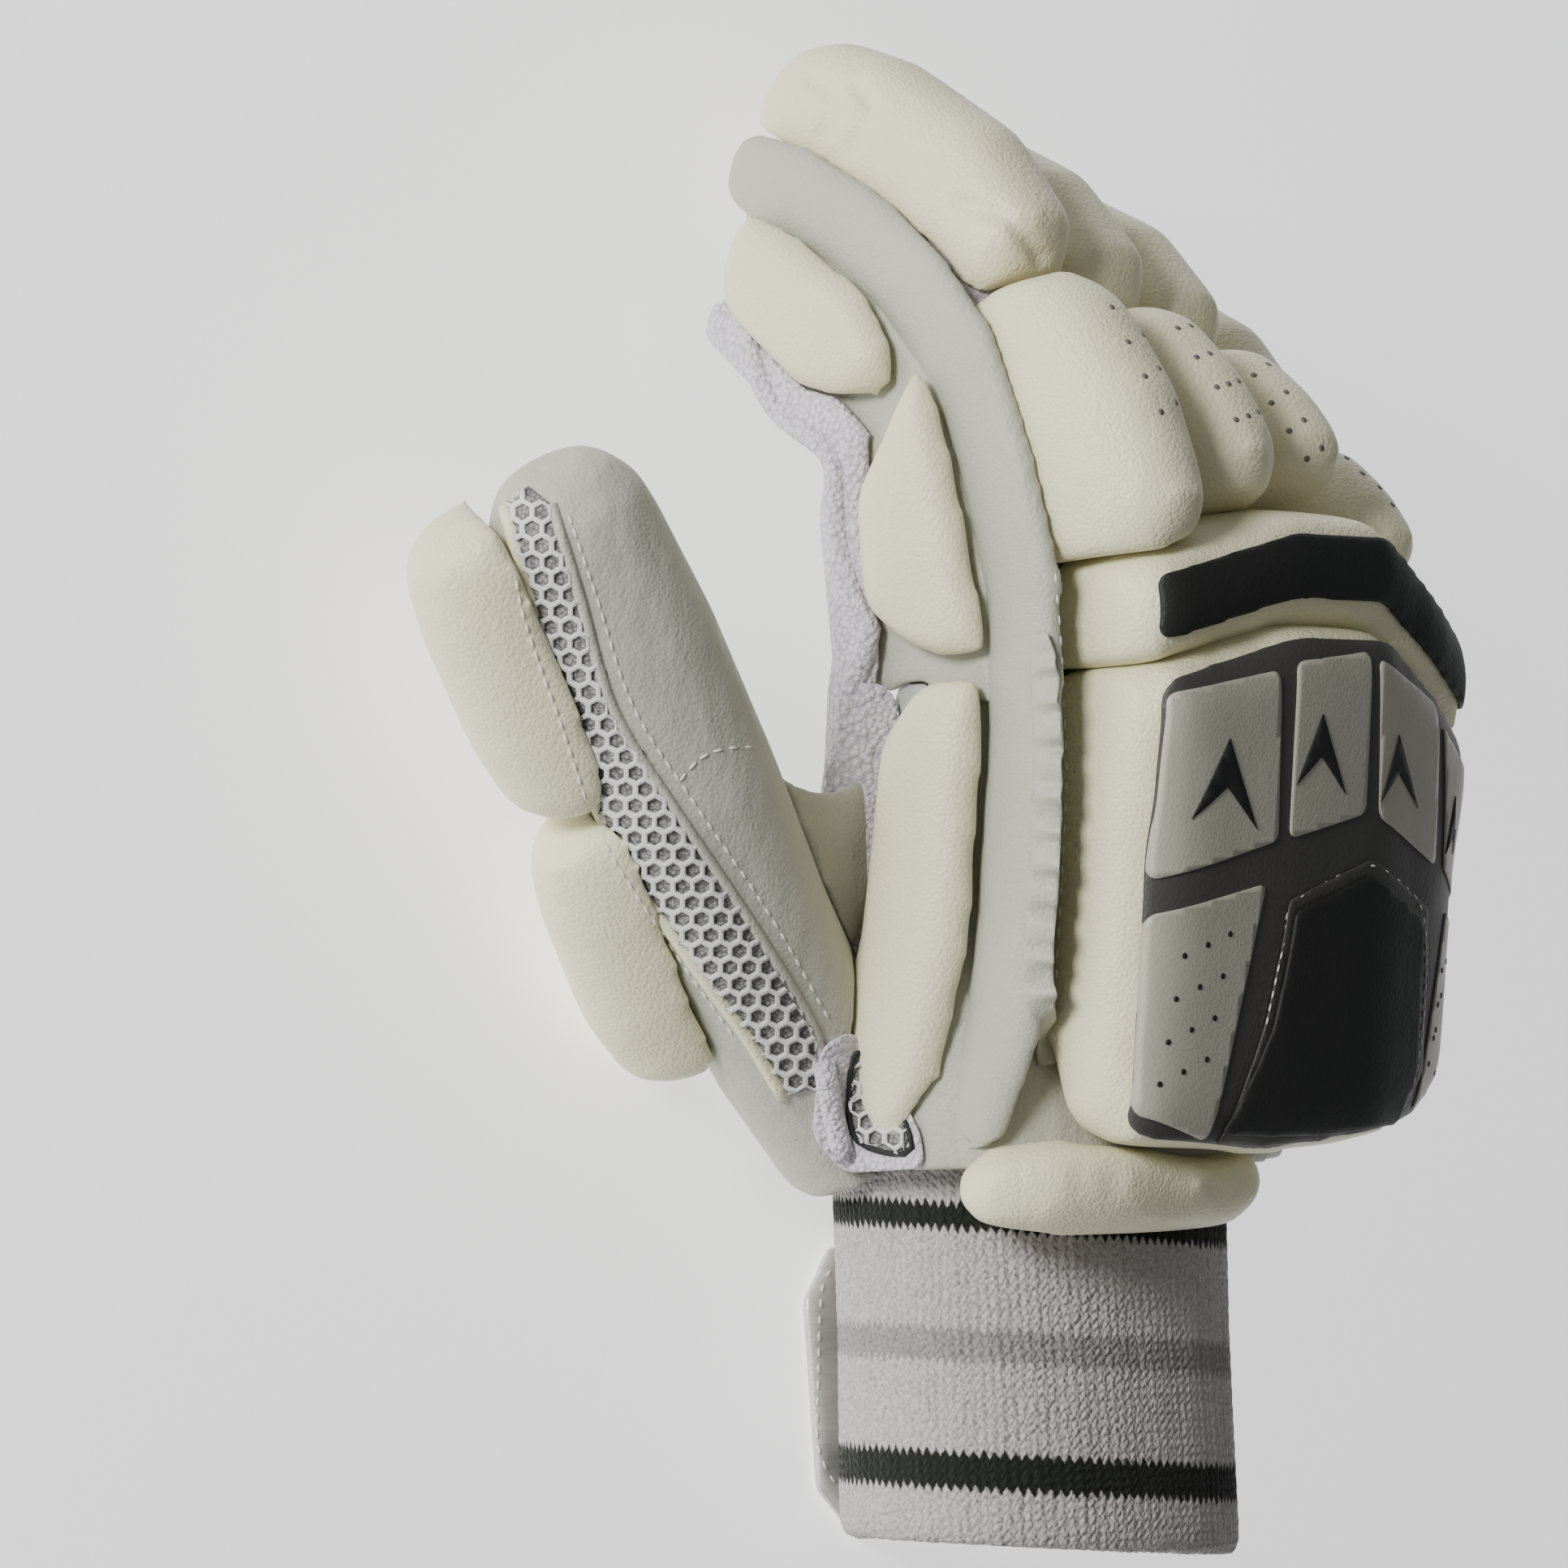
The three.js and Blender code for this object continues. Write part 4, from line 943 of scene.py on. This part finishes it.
print("sheets are cut into cells, bridges reach", BRIDGE_SINK, "mm into their surface")

# %% [markdown]
# Stitches, printed dots and rolled edges are small and many. A stitch is a stretched ball with few
# faces between two places along its seam, a dot is a low disc, and a rolled edge is a round bar
# that follows its path.

# %% Stitches, dots and rolled edges
STITCH_RISE = 0.1
SHORTEST_STITCH = 1e-4
DOT_HEIGHT = 0.12
DOT_TAPER = 0.9
BAR_MERGE = 0.01


def axes_at(place, along, normal, sizes):
    """Matrix for a small shape that lies along a line on a surface."""
    side = normal.cross(along).normalized()
    lift = along.cross(side).normalized()
    columns = [axis * size * MM for axis, size in zip((along.normalized(), side, lift), sizes)]
    return Matrix.Translation(place) @ Matrix(columns).transposed().to_4x4()


def stitched(paths, tree, pitch, sizes):
    """Rows of small stitches along paths on a surface, each with its half length, width and height."""
    shape = bmesh.new()
    for path in paths:
        places = [landed(point, tree) for point in evenly(path, pitch)]
        for (start, normal), (end, _) in zip(places, places[1:]):
            along = end - start
            if SHORTEST_STITCH < along.length < 3 * pitch * MM:
                matrix = axes_at((start + end) / 2 + normal * STITCH_RISE * MM, along, normal, sizes)
                bmesh.ops.create_uvsphere(shape, u_segments=6, v_segments=4, radius=1, matrix=matrix)
    return shape


def dotted(points, tree, radius):
    """Small flat discs on a surface."""
    shape = bmesh.new()
    for point in points:
        place, normal = landed(point, tree)
        spin = normal.to_track_quat("Z", "Y").to_matrix().to_4x4()
        matrix = Matrix.Translation(place + normal * DOT_HEIGHT / 2 * MM) @ spin
        bmesh.ops.create_cone(
            shape, cap_ends=True, segments=10, radius1=radius * MM, radius2=radius * DOT_TAPER * MM,
            depth=DOT_HEIGHT * MM, matrix=matrix,
        )
    return shape


def welted(path, tree, radius, rise=0.0, step=2.0):
    """Round bar along a path on a surface."""
    data = bpy.data.curves.new("welt", "CURVE")
    data.dimensions = "3D"
    data.bevel_depth = radius * MM
    data.bevel_resolution = 2
    data.use_fill_caps = True
    places = [landed(point, tree) for point in evenly(path, step)]
    spline = data.splines.new("POLY")
    spline.points.add(len(places) - 1)
    for point, (place, normal) in zip(spline.points, places):
        point.co = (*(place + normal * rise * MM), 1)
    holder = linked("welt", data)
    bpy.context.view_layer.update()
    mesh = bpy.data.meshes.new_from_object(holder.evaluated_get(bpy.context.evaluated_depsgraph_get()))
    shape = bmesh.new()
    shape.from_mesh(mesh)
    bpy.data.objects.remove(holder)
    bpy.data.curves.remove(data)
    bpy.data.meshes.remove(mesh)
    bmesh.ops.remove_doubles(shape, verts=shape.verts, dist=BAR_MERGE * MM)
    return shape


def zoomed(origin, scale, *places):
    """Photograph places that were read from an enlarged cut of it."""
    return [(origin[0] + x / scale, origin[1] + y / scale) for x, y in places]


print("a printed dot stands", DOT_HEIGHT, "mm high")

# %% [markdown]
# The printed panel lies on the back pad. Its pale windows are separate raised prints on a dark
# grey ground, with black arrow heads and dots on them. The two windows that turn away over the far
# edge show only their near side, so each gets two corners from the photograph and two at the
# panel's far edge, in the hand's own frame.

# %% Back panel
BACK_CUT = ((1180, 700), 2.085)
PANEL_CORNER, WINDOW_CORNER = 3.5, 1.6
WINDOWS = (
    ((512, 312), (825, 262), (820, 700), (482, 803)),
    ((870, 240), (1055, 215), (1045, 630), (850, 695)),
    ((1080, 232), (1222, 350), (1222, 765), (1080, 640)),
    ((474, 892), (790, 810), (630, 1472), (438, 1402)),
)
FAR_WINDOWS = (
    {"near": ((1245, 410), (1245, 770)), "far": (124, 104)},
    {"near": ((1250, 885), (1180, 1400)), "far": (99, 77)},
)
FAR_EDGE = 49.8
ARROWS = (
    ((699, 437), (768, 670), (693, 562), (600, 645)),
    ((938, 374), (996, 581), (935, 484), (870, 557)),
    ((1133, 428), (1181, 617), (1132, 526), (1087, 600)),
    ((1278, 585), (1306, 740), (1277, 672), (1252, 735)),
)
PANEL_DOTS = (
    (700, 940), (643, 968), (583, 996), (681, 1048), (622, 1076), (561, 1107),
    (660, 1156), (601, 1186), (541, 1218), (640, 1262), (580, 1294), (519, 1326),
    (1254, 1010), (1272, 1036), (1242, 1098), (1259, 1124), (1228, 1186), (1244, 1210),
    (1210, 1274), (1225, 1298),
)


def on_back(places):
    """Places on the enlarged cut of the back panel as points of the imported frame."""
    return seen(*zoomed(*BACK_CUT, *places))


pad_top = surface_of(PAD_PIECES["back_pad"])
panel_plate = laid(plan_of("back_panel", PANEL_CORNER), pad_top, thickness=0.9, cell=2.5, toward=DOWN)
panel = piece_of(panel_plate, "back_panel_print", PRINT, "printed_panel", "back_panel", subdivide=1)
panel_top = surface_of(panel)
panes = [cornered(on_back(window), panel_top, WINDOW_CORNER) for window in WINDOWS]
for window in FAR_WINDOWS:
    top, low = (landed(place, panel_top)[0] for place in on_back(window["near"]))
    far_top, far_low = (HAND @ Vector((FAR_EDGE, y, 0)) for y in window["far"])
    panes.append(levelled(outlined([top, far_top, far_low, low], WINDOW_CORNER)))
panes = together([laid(pane, panel_top, thickness=0.35, cell=1.2, toward=DOWN) for pane in panes])
pane_piece = piece_of(panes, "panel_windows", WINDOW, "printed_panel")
pane_top = surface_of(panel, pane_piece)
arrows = together([
    laid(cornered(on_back(arrow), pane_top), pane_top, thickness=0.2, cell=2.0, toward=DOWN)
    for arrow in ARROWS
])
piece_of(arrows, "panel_arrow_heads", BLACK, "printed_panel")
piece_of(dotted(on_back(PANEL_DOTS), pane_top, radius=0.5), "panel_dots", BLACK, "printed_panel")
print("windows:", len(WINDOWS) + len(FAR_WINDOWS), "arrow heads:", len(ARROWS), "dots:", len(PANEL_DOTS))

# %% [markdown]
# The shield is a black moulded plate low on the panel, with a grey border and a stitched edge. The
# plate and the stitches follow the border's outline at a smaller size, so one outline gives all.

# %% Shield
SHIELD_EDGE = (
    (1060, 745), (1205, 875), (1190, 1290), (1110, 1465), (910, 1482), (780, 1485), (645, 1480),
    (785, 1180), (830, 970), (850, 850),
)
PLATE_SIZE, SEAM_SIZE = 0.91, 0.96
SEAM_FROM, SEAM_TO = 7, 4


def scaled(places, size):
    """An outline made larger or smaller about its middle."""
    middle_x = sum(x for x, _ in places) / len(places)
    middle_y = sum(y for _, y in places) / len(places)
    return [(middle_x + (x - middle_x) * size, middle_y + (y - middle_y) * size) for x, y in places]


border_sheet = cornered(on_back(SHIELD_EDGE), panel_top, 1.2)
border = laid(border_sheet, pane_top, thickness=0.5, cell=2.5, toward=DOWN)
border_piece = piece_of(border, "shield_border", PRINT, "printed_panel", subdivide=1)
border_top = surface_of(border_piece)
plate_sheet = cornered(on_back(scaled(SHIELD_EDGE, PLATE_SIZE)), panel_top, 1.0)
plate = laid(plate_sheet, border_top, thickness=1.0, cell=2.5, toward=DOWN)
shield = piece_of(plate, "back_shield_plate", BLACK, "black_leather", "back_shield", subdivide=1)
edge = on_back(scaled(SHIELD_EDGE, SEAM_SIZE))
shield_seam = edge[SEAM_FROM:] + edge[:SEAM_TO]
shield_stitches = stitched([shield_seam], border_top, pitch=2.2, sizes=(0.75, 0.18, 0.14))
piece_of(shield_stitches, "shield_stitches", THREAD, "printed_panel")
print("faces of the shield's plate:", len(shield.data.polygons))

# %% [markdown]
# The knuckle bar carries a black insert, a thick moulded strip that bends over the bar. Its solid
# gives the outline, and the bar's own surface gives the bend.

# %% Knuckle insert
INSERT_CORNER = 2.0
bar_top = surface_of(PAD_PIECES["knuckle_bar"])
strip = laid(plan_of("knuckle_insert", INSERT_CORNER), bar_top, thickness=1.2, cell=2.0, toward=DOWN)
insert = piece_of(strip, "knuckle_insert_strip", BLACK, "black_leather", "knuckle_insert", subdivide=1)
print("insert faces:", len(insert.data.polygons))

# %% [markdown]
# Small grey dots are printed in rows on the rolls. Every row is looked up on its own roll only,
# because a ray that just misses one roll would land on the next.

# %% Printed dots
ROLL_CUT = ((1180, 180), 2.24)
FAR_CUT = ((860, 0), 2.904)
ROLL_DOTS = {
    "index_roll_near": (
        (425, 444), (466, 428), (470, 540), (511, 520), (516, 635), (556, 612), (561, 734), (603, 708),
    ),
    "middle_roll_near": (
        (607, 502), (643, 495), (675, 488), (659, 582), (695, 572), (725, 563),
        (715, 665), (747, 656), (775, 648), (768, 755), (801, 744), (829, 733),
    ),
    "ring_roll_near": (
        (817, 632), (857, 602), (866, 709), (906, 679), (915, 786), (955, 756), (964, 863), (1004, 833),
    ),
    "little_roll_near": ((1045, 792), (1085, 842), (1125, 892), (1165, 942), (1200, 990)),
}
FAR_DOTS = ((930, 300), (985, 302), (1015, 373), (1070, 370))
DOT_RADIUS = 0.55
dot_shapes = [
    dotted(seen(*zoomed(*ROLL_CUT, *dots)), surface_of(PAD_PIECES[node]), DOT_RADIUS)
    for node, dots in ROLL_DOTS.items()
]
far_places = seen(*zoomed(*FAR_CUT, *FAR_DOTS))
dot_shapes.append(dotted(far_places, surface_of(PAD_PIECES["index_roll_far"]), DOT_RADIUS))
roll_dots = piece_of(together(dot_shapes), "roll_dots", DOT, "cream_leather")
print("faces of printed dots:", len(roll_dots.data.polygons))

# %% [markdown]
# The mesh on the thumb is a net of six-sided holes. Cutting them out of a plate would be ragged, so
# a sheet of hexagons is made, each is inset and opened, and the net that is left is laid on its
# backing strip and given a thickness.

# %% Air mesh
MESH_CELL = 1.75
MESH_BAR = 0.24
MESH_REACH = 0.3
NET_MERGE = 0.2
NET_THICKNESS = 0.7
BACKING_THICKNESS = 0.35
MESH_BAND = (
    (623, 626), (652, 600), (680, 622), (713, 730), (756, 873), (832, 997), (927, 1140), (1000, 1264),
    (1020, 1335), (965, 1350), (918, 1273), (842, 1169), (756, 1035), (704, 902), (655, 740),
)


def hexagon_net(outline, cell, tree):
    """A net of hexagonal holes over part of a surface, as it shows from the camera."""
    sheet = outlined(seen(*outline))
    inside = BVHTree.FromBMesh(sheet)
    spots = [(v.co.dot(right), v.co.dot(up)) for v in sheet.verts]
    depth = sheet.verts[:][0].co.dot(back)
    sheet.free()
    low_x, low_y = (min(spot[i] for spot in spots) for i in (0, 1))
    high_x, high_y = (max(spot[i] for spot in spots) for i in (0, 1))
    shape = bmesh.new()
    wide, tall = cell * math.sqrt(3) * MM, cell * 1.5 * MM
    facing = Matrix((right, up, back)).transposed().to_4x4()
    for row in range(int((high_y - low_y) / tall) + 1):
        for column in range(int((high_x - low_x) / wide) + 1):
            across = low_x + (column + row % 2 / 2) * wide
            place = right * across + up * (low_y + row * tall) + back * depth
            if inside.find_nearest(place)[3] < MESH_REACH * cell * MM:
                matrix = Matrix.Translation(place) @ facing
                bmesh.ops.create_circle(shape, cap_ends=True, segments=6, radius=cell * MM, matrix=matrix)
    bmesh.ops.remove_doubles(shape, verts=shape.verts, dist=NET_MERGE * MM)
    holes = shape.faces[:]
    bmesh.ops.inset_individual(shape, faces=holes, thickness=MESH_BAR * cell * MM)
    bmesh.ops.delete(shape, geom=holes, context="FACES")
    for v in shape.verts:
        v.co = landed(v.co, tree)[0]
    return thickened(shape, tree, NET_THICKNESS)


thumb_top = surface_of(WALL_PIECES["thumb_back"])
backing = laid(outlined(seen(*MESH_BAND)), thumb_top, BACKING_THICKNESS)
backing_piece = piece_of(backing, "thumb_mesh_backing", MESH_BACK, "air_mesh")
net = hexagon_net(MESH_BAND, MESH_CELL, surface_of(backing_piece))
mesh_net = piece_of(net, "thumb_mesh_net", MESH_THREAD, "air_mesh", "thumb_mesh")
print("mesh faces:", len(mesh_net.data.polygons))

# %% [markdown]
# A rolled edge runs along each side of the mesh, white by the thumb's back and cream by its pads.
# Stitches follow both, and one more stitched seam crosses the thumb.

# %% Thumb seams
BAND_TOP, BAND_TURN = 2, 9
EDGE_RISE = 0.1
mesh_edge = seen(*MESH_BAND)
back_edge = mesh_edge[BAND_TOP:BAND_TURN]
pad_edge = mesh_edge[BAND_TURN:] + mesh_edge[:1]
piece_of(welted(back_edge, thumb_top, 0.9, rise=EDGE_RISE), "thumb_mesh_edge", WHITE, "white_leather")
piece_of(welted(pad_edge, thumb_top, 1.15, rise=EDGE_RISE), "thumb_pad_flange", CREAM, "cream_leather")
seam_top = surface_of(
    WALL_PIECES["thumb_back"], PAD_PIECES["thumb_pad_tip"], PAD_PIECES["thumb_pad_wrist"]
)
THUMB_SEAMS = (
    ((700, 632), (735, 735), (780, 870), (856, 990), (950, 1130), (1022, 1258)),
    ((835, 965), (868, 930), (915, 920), (950, 925)),
    ((636, 640), (640, 740), (692, 895), (742, 1032), (828, 1168), (905, 1278)),
)
thumb_seams = [seen(*seam) for seam in THUMB_SEAMS]
thumb_stitches = stitched(thumb_seams, seam_top, pitch=2.4, sizes=(0.95, 0.26, 0.26))
piece_of(thumb_stitches, "thumb_stitches", THREAD, "white_leather")
print("thumb seams:", len(THUMB_SEAMS))

# %% [markdown]
# Where the thumb, the side of the hand and the cuff meet, towelling bridges the corner like a
# stretched cloth. It has a small window of mesh with a dark edge.

# %% Corner of the wrist
PATCH = ((1010, 1290), (1050, 1268), (1092, 1318), (1135, 1395), (1140, 1440), (1040, 1446), (1000, 1400))
PATCH_WINDOW = ((1052, 1300), (1074, 1302), (1122, 1400), (1112, 1422), (1060, 1408), (1046, 1370))
CORNER_BRIDGE = 40
corner = surface_of(WALL_PIECES["thumb_back"], WALL_PIECES["hand_back"], WALL_PIECES["palm_leather"], cuff)
patch = laid(outlined(seen(*PATCH), 2.0), corner, thickness=1.5, cell=1.2, bridge=CORNER_BRIDGE)
corner_towel = piece_of(patch, "wrist_corner_towelling", TOWEL, "towelling", subdivide=1)
corner_top = surface_of(corner_towel)
window_back = laid(outlined(seen(*PATCH_WINDOW), 1.0), corner_top, thickness=0.3, cell=1.5)
corner_back = piece_of(window_back, "wrist_mesh_backing", MESH_BACK, "air_mesh")
window_net = hexagon_net(PATCH_WINDOW, MESH_CELL, surface_of(corner_back))
piece_of(window_net, "wrist_mesh_net", MESH_THREAD, "air_mesh")
window_edge = seen(*PATCH_WINDOW, *PATCH_WINDOW[:2])
piece_of(welted(window_edge, corner_top, 0.55), "wrist_mesh_edge", BLACK, "black_leather")
print("faces of the corner:", len(corner_towel.data.polygons))

# %% [markdown]
# A thick towelling piping follows the side pads from the fingertip to the wrist. Between two of the
# pads the photograph shows towelling behind it, so a piece is stretched across that gap.

# %% Piping
PIPING = (
    (890, 330), (947, 489), (1020, 555), (1028, 600), (1032, 667), (1052, 741), (1072, 775), (1050, 850),
    (1026, 971), (1018, 1114), (1012, 1267), (1022, 1350), (1040, 1425),
)
GAP_FILL = ((1034, 840), (1092, 843), (1108, 870), (1108, 1010), (1066, 1100), (1022, 1100))
GAP_BRIDGE = 20
side_wall = surface_of(WALL_PIECES["side_gusset"], corner_towel)
behind_pads = surface_of(WALL_PIECES["side_gusset"], WALL_PIECES["hand_back"])
gap_cloth = laid(outlined(seen(*GAP_FILL), 2.0), behind_pads, thickness=1.2, cell=1.5, bridge=GAP_BRIDGE)
piece_of(gap_cloth, "side_gap_towelling", TOWEL, "towelling")
piping = piece_of(welted(seen(*PIPING), side_wall, 1.9, step=3), "side_piping", TOWEL, "towelling")
print("piping faces:", len(piping.data.polygons))

# %% [markdown]
# A gathered edge of leather stands on the seam between the channel and the back pad. It is a narrow
# ribbon whose outer side waves, with three waves of different pace, because real gathers are
# uneven. Both ends taper into the seam.

# %% Gathered seam
FLAP = ((1280, 772), (1285, 820), (1290, 930), (1284, 1080), (1276, 1200), (1288, 1322))
FLAP_EASE = 12
FLAP_ROWS = 3
FLAP_FOOT = 0.4
FLAP_THICKNESS = 0.7
TAPER_COLUMNS = 8
GATHERING = 0.8
GATHERS = (
    {"pace": 0.95, "size": 1.0, "start": 0},
    {"pace": 0.41, "size": 0.6, "start": 1},
    {"pace": 1.7, "size": 0.4, "start": 0},
)


def ruffled(path, tree, width, depth, step=0.8):
    """A gathered ribbon of leather along a path."""
    places = [landed(point, tree) for point in evenly(path, step)]
    for _ in range(FLAP_EASE):
        ends = [places[0], *places, places[-1]]
        places = [
            ((before[0] + at[0] * 2 + after[0]) / 4, (before[1] + at[1] * 2 + after[1]).normalized())
            for before, at, after in zip(ends, ends[1:], ends[2:])
        ]
    shape = bmesh.new()
    bmesh.ops.create_grid(shape, x_segments=len(places) - 1, y_segments=FLAP_ROWS, size=1)
    for v in shape.verts:
        column = round((v.co.x + 1) / 2 * (len(places) - 1))
        share = (v.co.y + 1) / 2
        place, normal = places[column]
        along = places[min(column + 1, len(places) - 1)][0] - places[max(column - 1, 0)][0]
        side = normal.cross(along.normalized())
        taper = min(1, column / TAPER_COLUMNS, (len(places) - 1 - column) / TAPER_COLUMNS)
        wave = sum(row["size"] * math.sin(column * row["pace"] + row["start"]) for row in GATHERS)
        lift = FLAP_FOOT + depth * taper * share * (1 + wave * GATHERING)
        v.co = place + side * width * (0.5 + 0.5 * taper) * (share - 0.5) * MM + normal * lift * MM
    return thickened(shape, BVHTree.FromBMesh(shape), FLAP_THICKNESS)


channel_top = surface_of(
    WALL_PIECES["side_channel"], WALL_PIECES["hand_back"], PAD_PIECES["back_pad"], PAD_PIECES["knuckle_bar"]
)
ribbon = ruffled(seen(*FLAP), channel_top, width=5.0, depth=1.3)
flap = piece_of(ribbon, "gathered_seam", WHITE, "white_leather", subdivide=1)
print("gathered seam faces:", len(flap.data.polygons))

# %% [markdown]
# The strap has one row of stitches inside its edge, and a looser row beside the gathered edge holds
# it to the back pad.

# %% Stitches
STRAP_SEAM = ((1044, 1552), (1014, 1580), (1008, 1700), (1010, 1790), (1042, 1848))
FLAP_SEAM = ((1300, 700), (1308, 820), (1314, 950), (1308, 1090), (1302, 1200), (1300, 1290))
strap_stitches = stitched([seen(*STRAP_SEAM)], surface_of(strap), pitch=2.6, sizes=(0.9, 0.24, 0.2))
piece_of(strap_stitches, "strap_stitches", THREAD, "vinyl")
leather_top = surface_of(
    PAD_PIECES["back_pad"], PAD_PIECES["knuckle_bar"], WALL_PIECES["side_channel"], insert, panel
)
seam_stitches = stitched([seen(*FLAP_SEAM)], leather_top, pitch=3.4, sizes=(0.9, 0.22, 0.18))
piece_of(seam_stitches, "seam_stitches", THREAD, "cream_leather")
print("stitches on the strap and the gathered edge made")
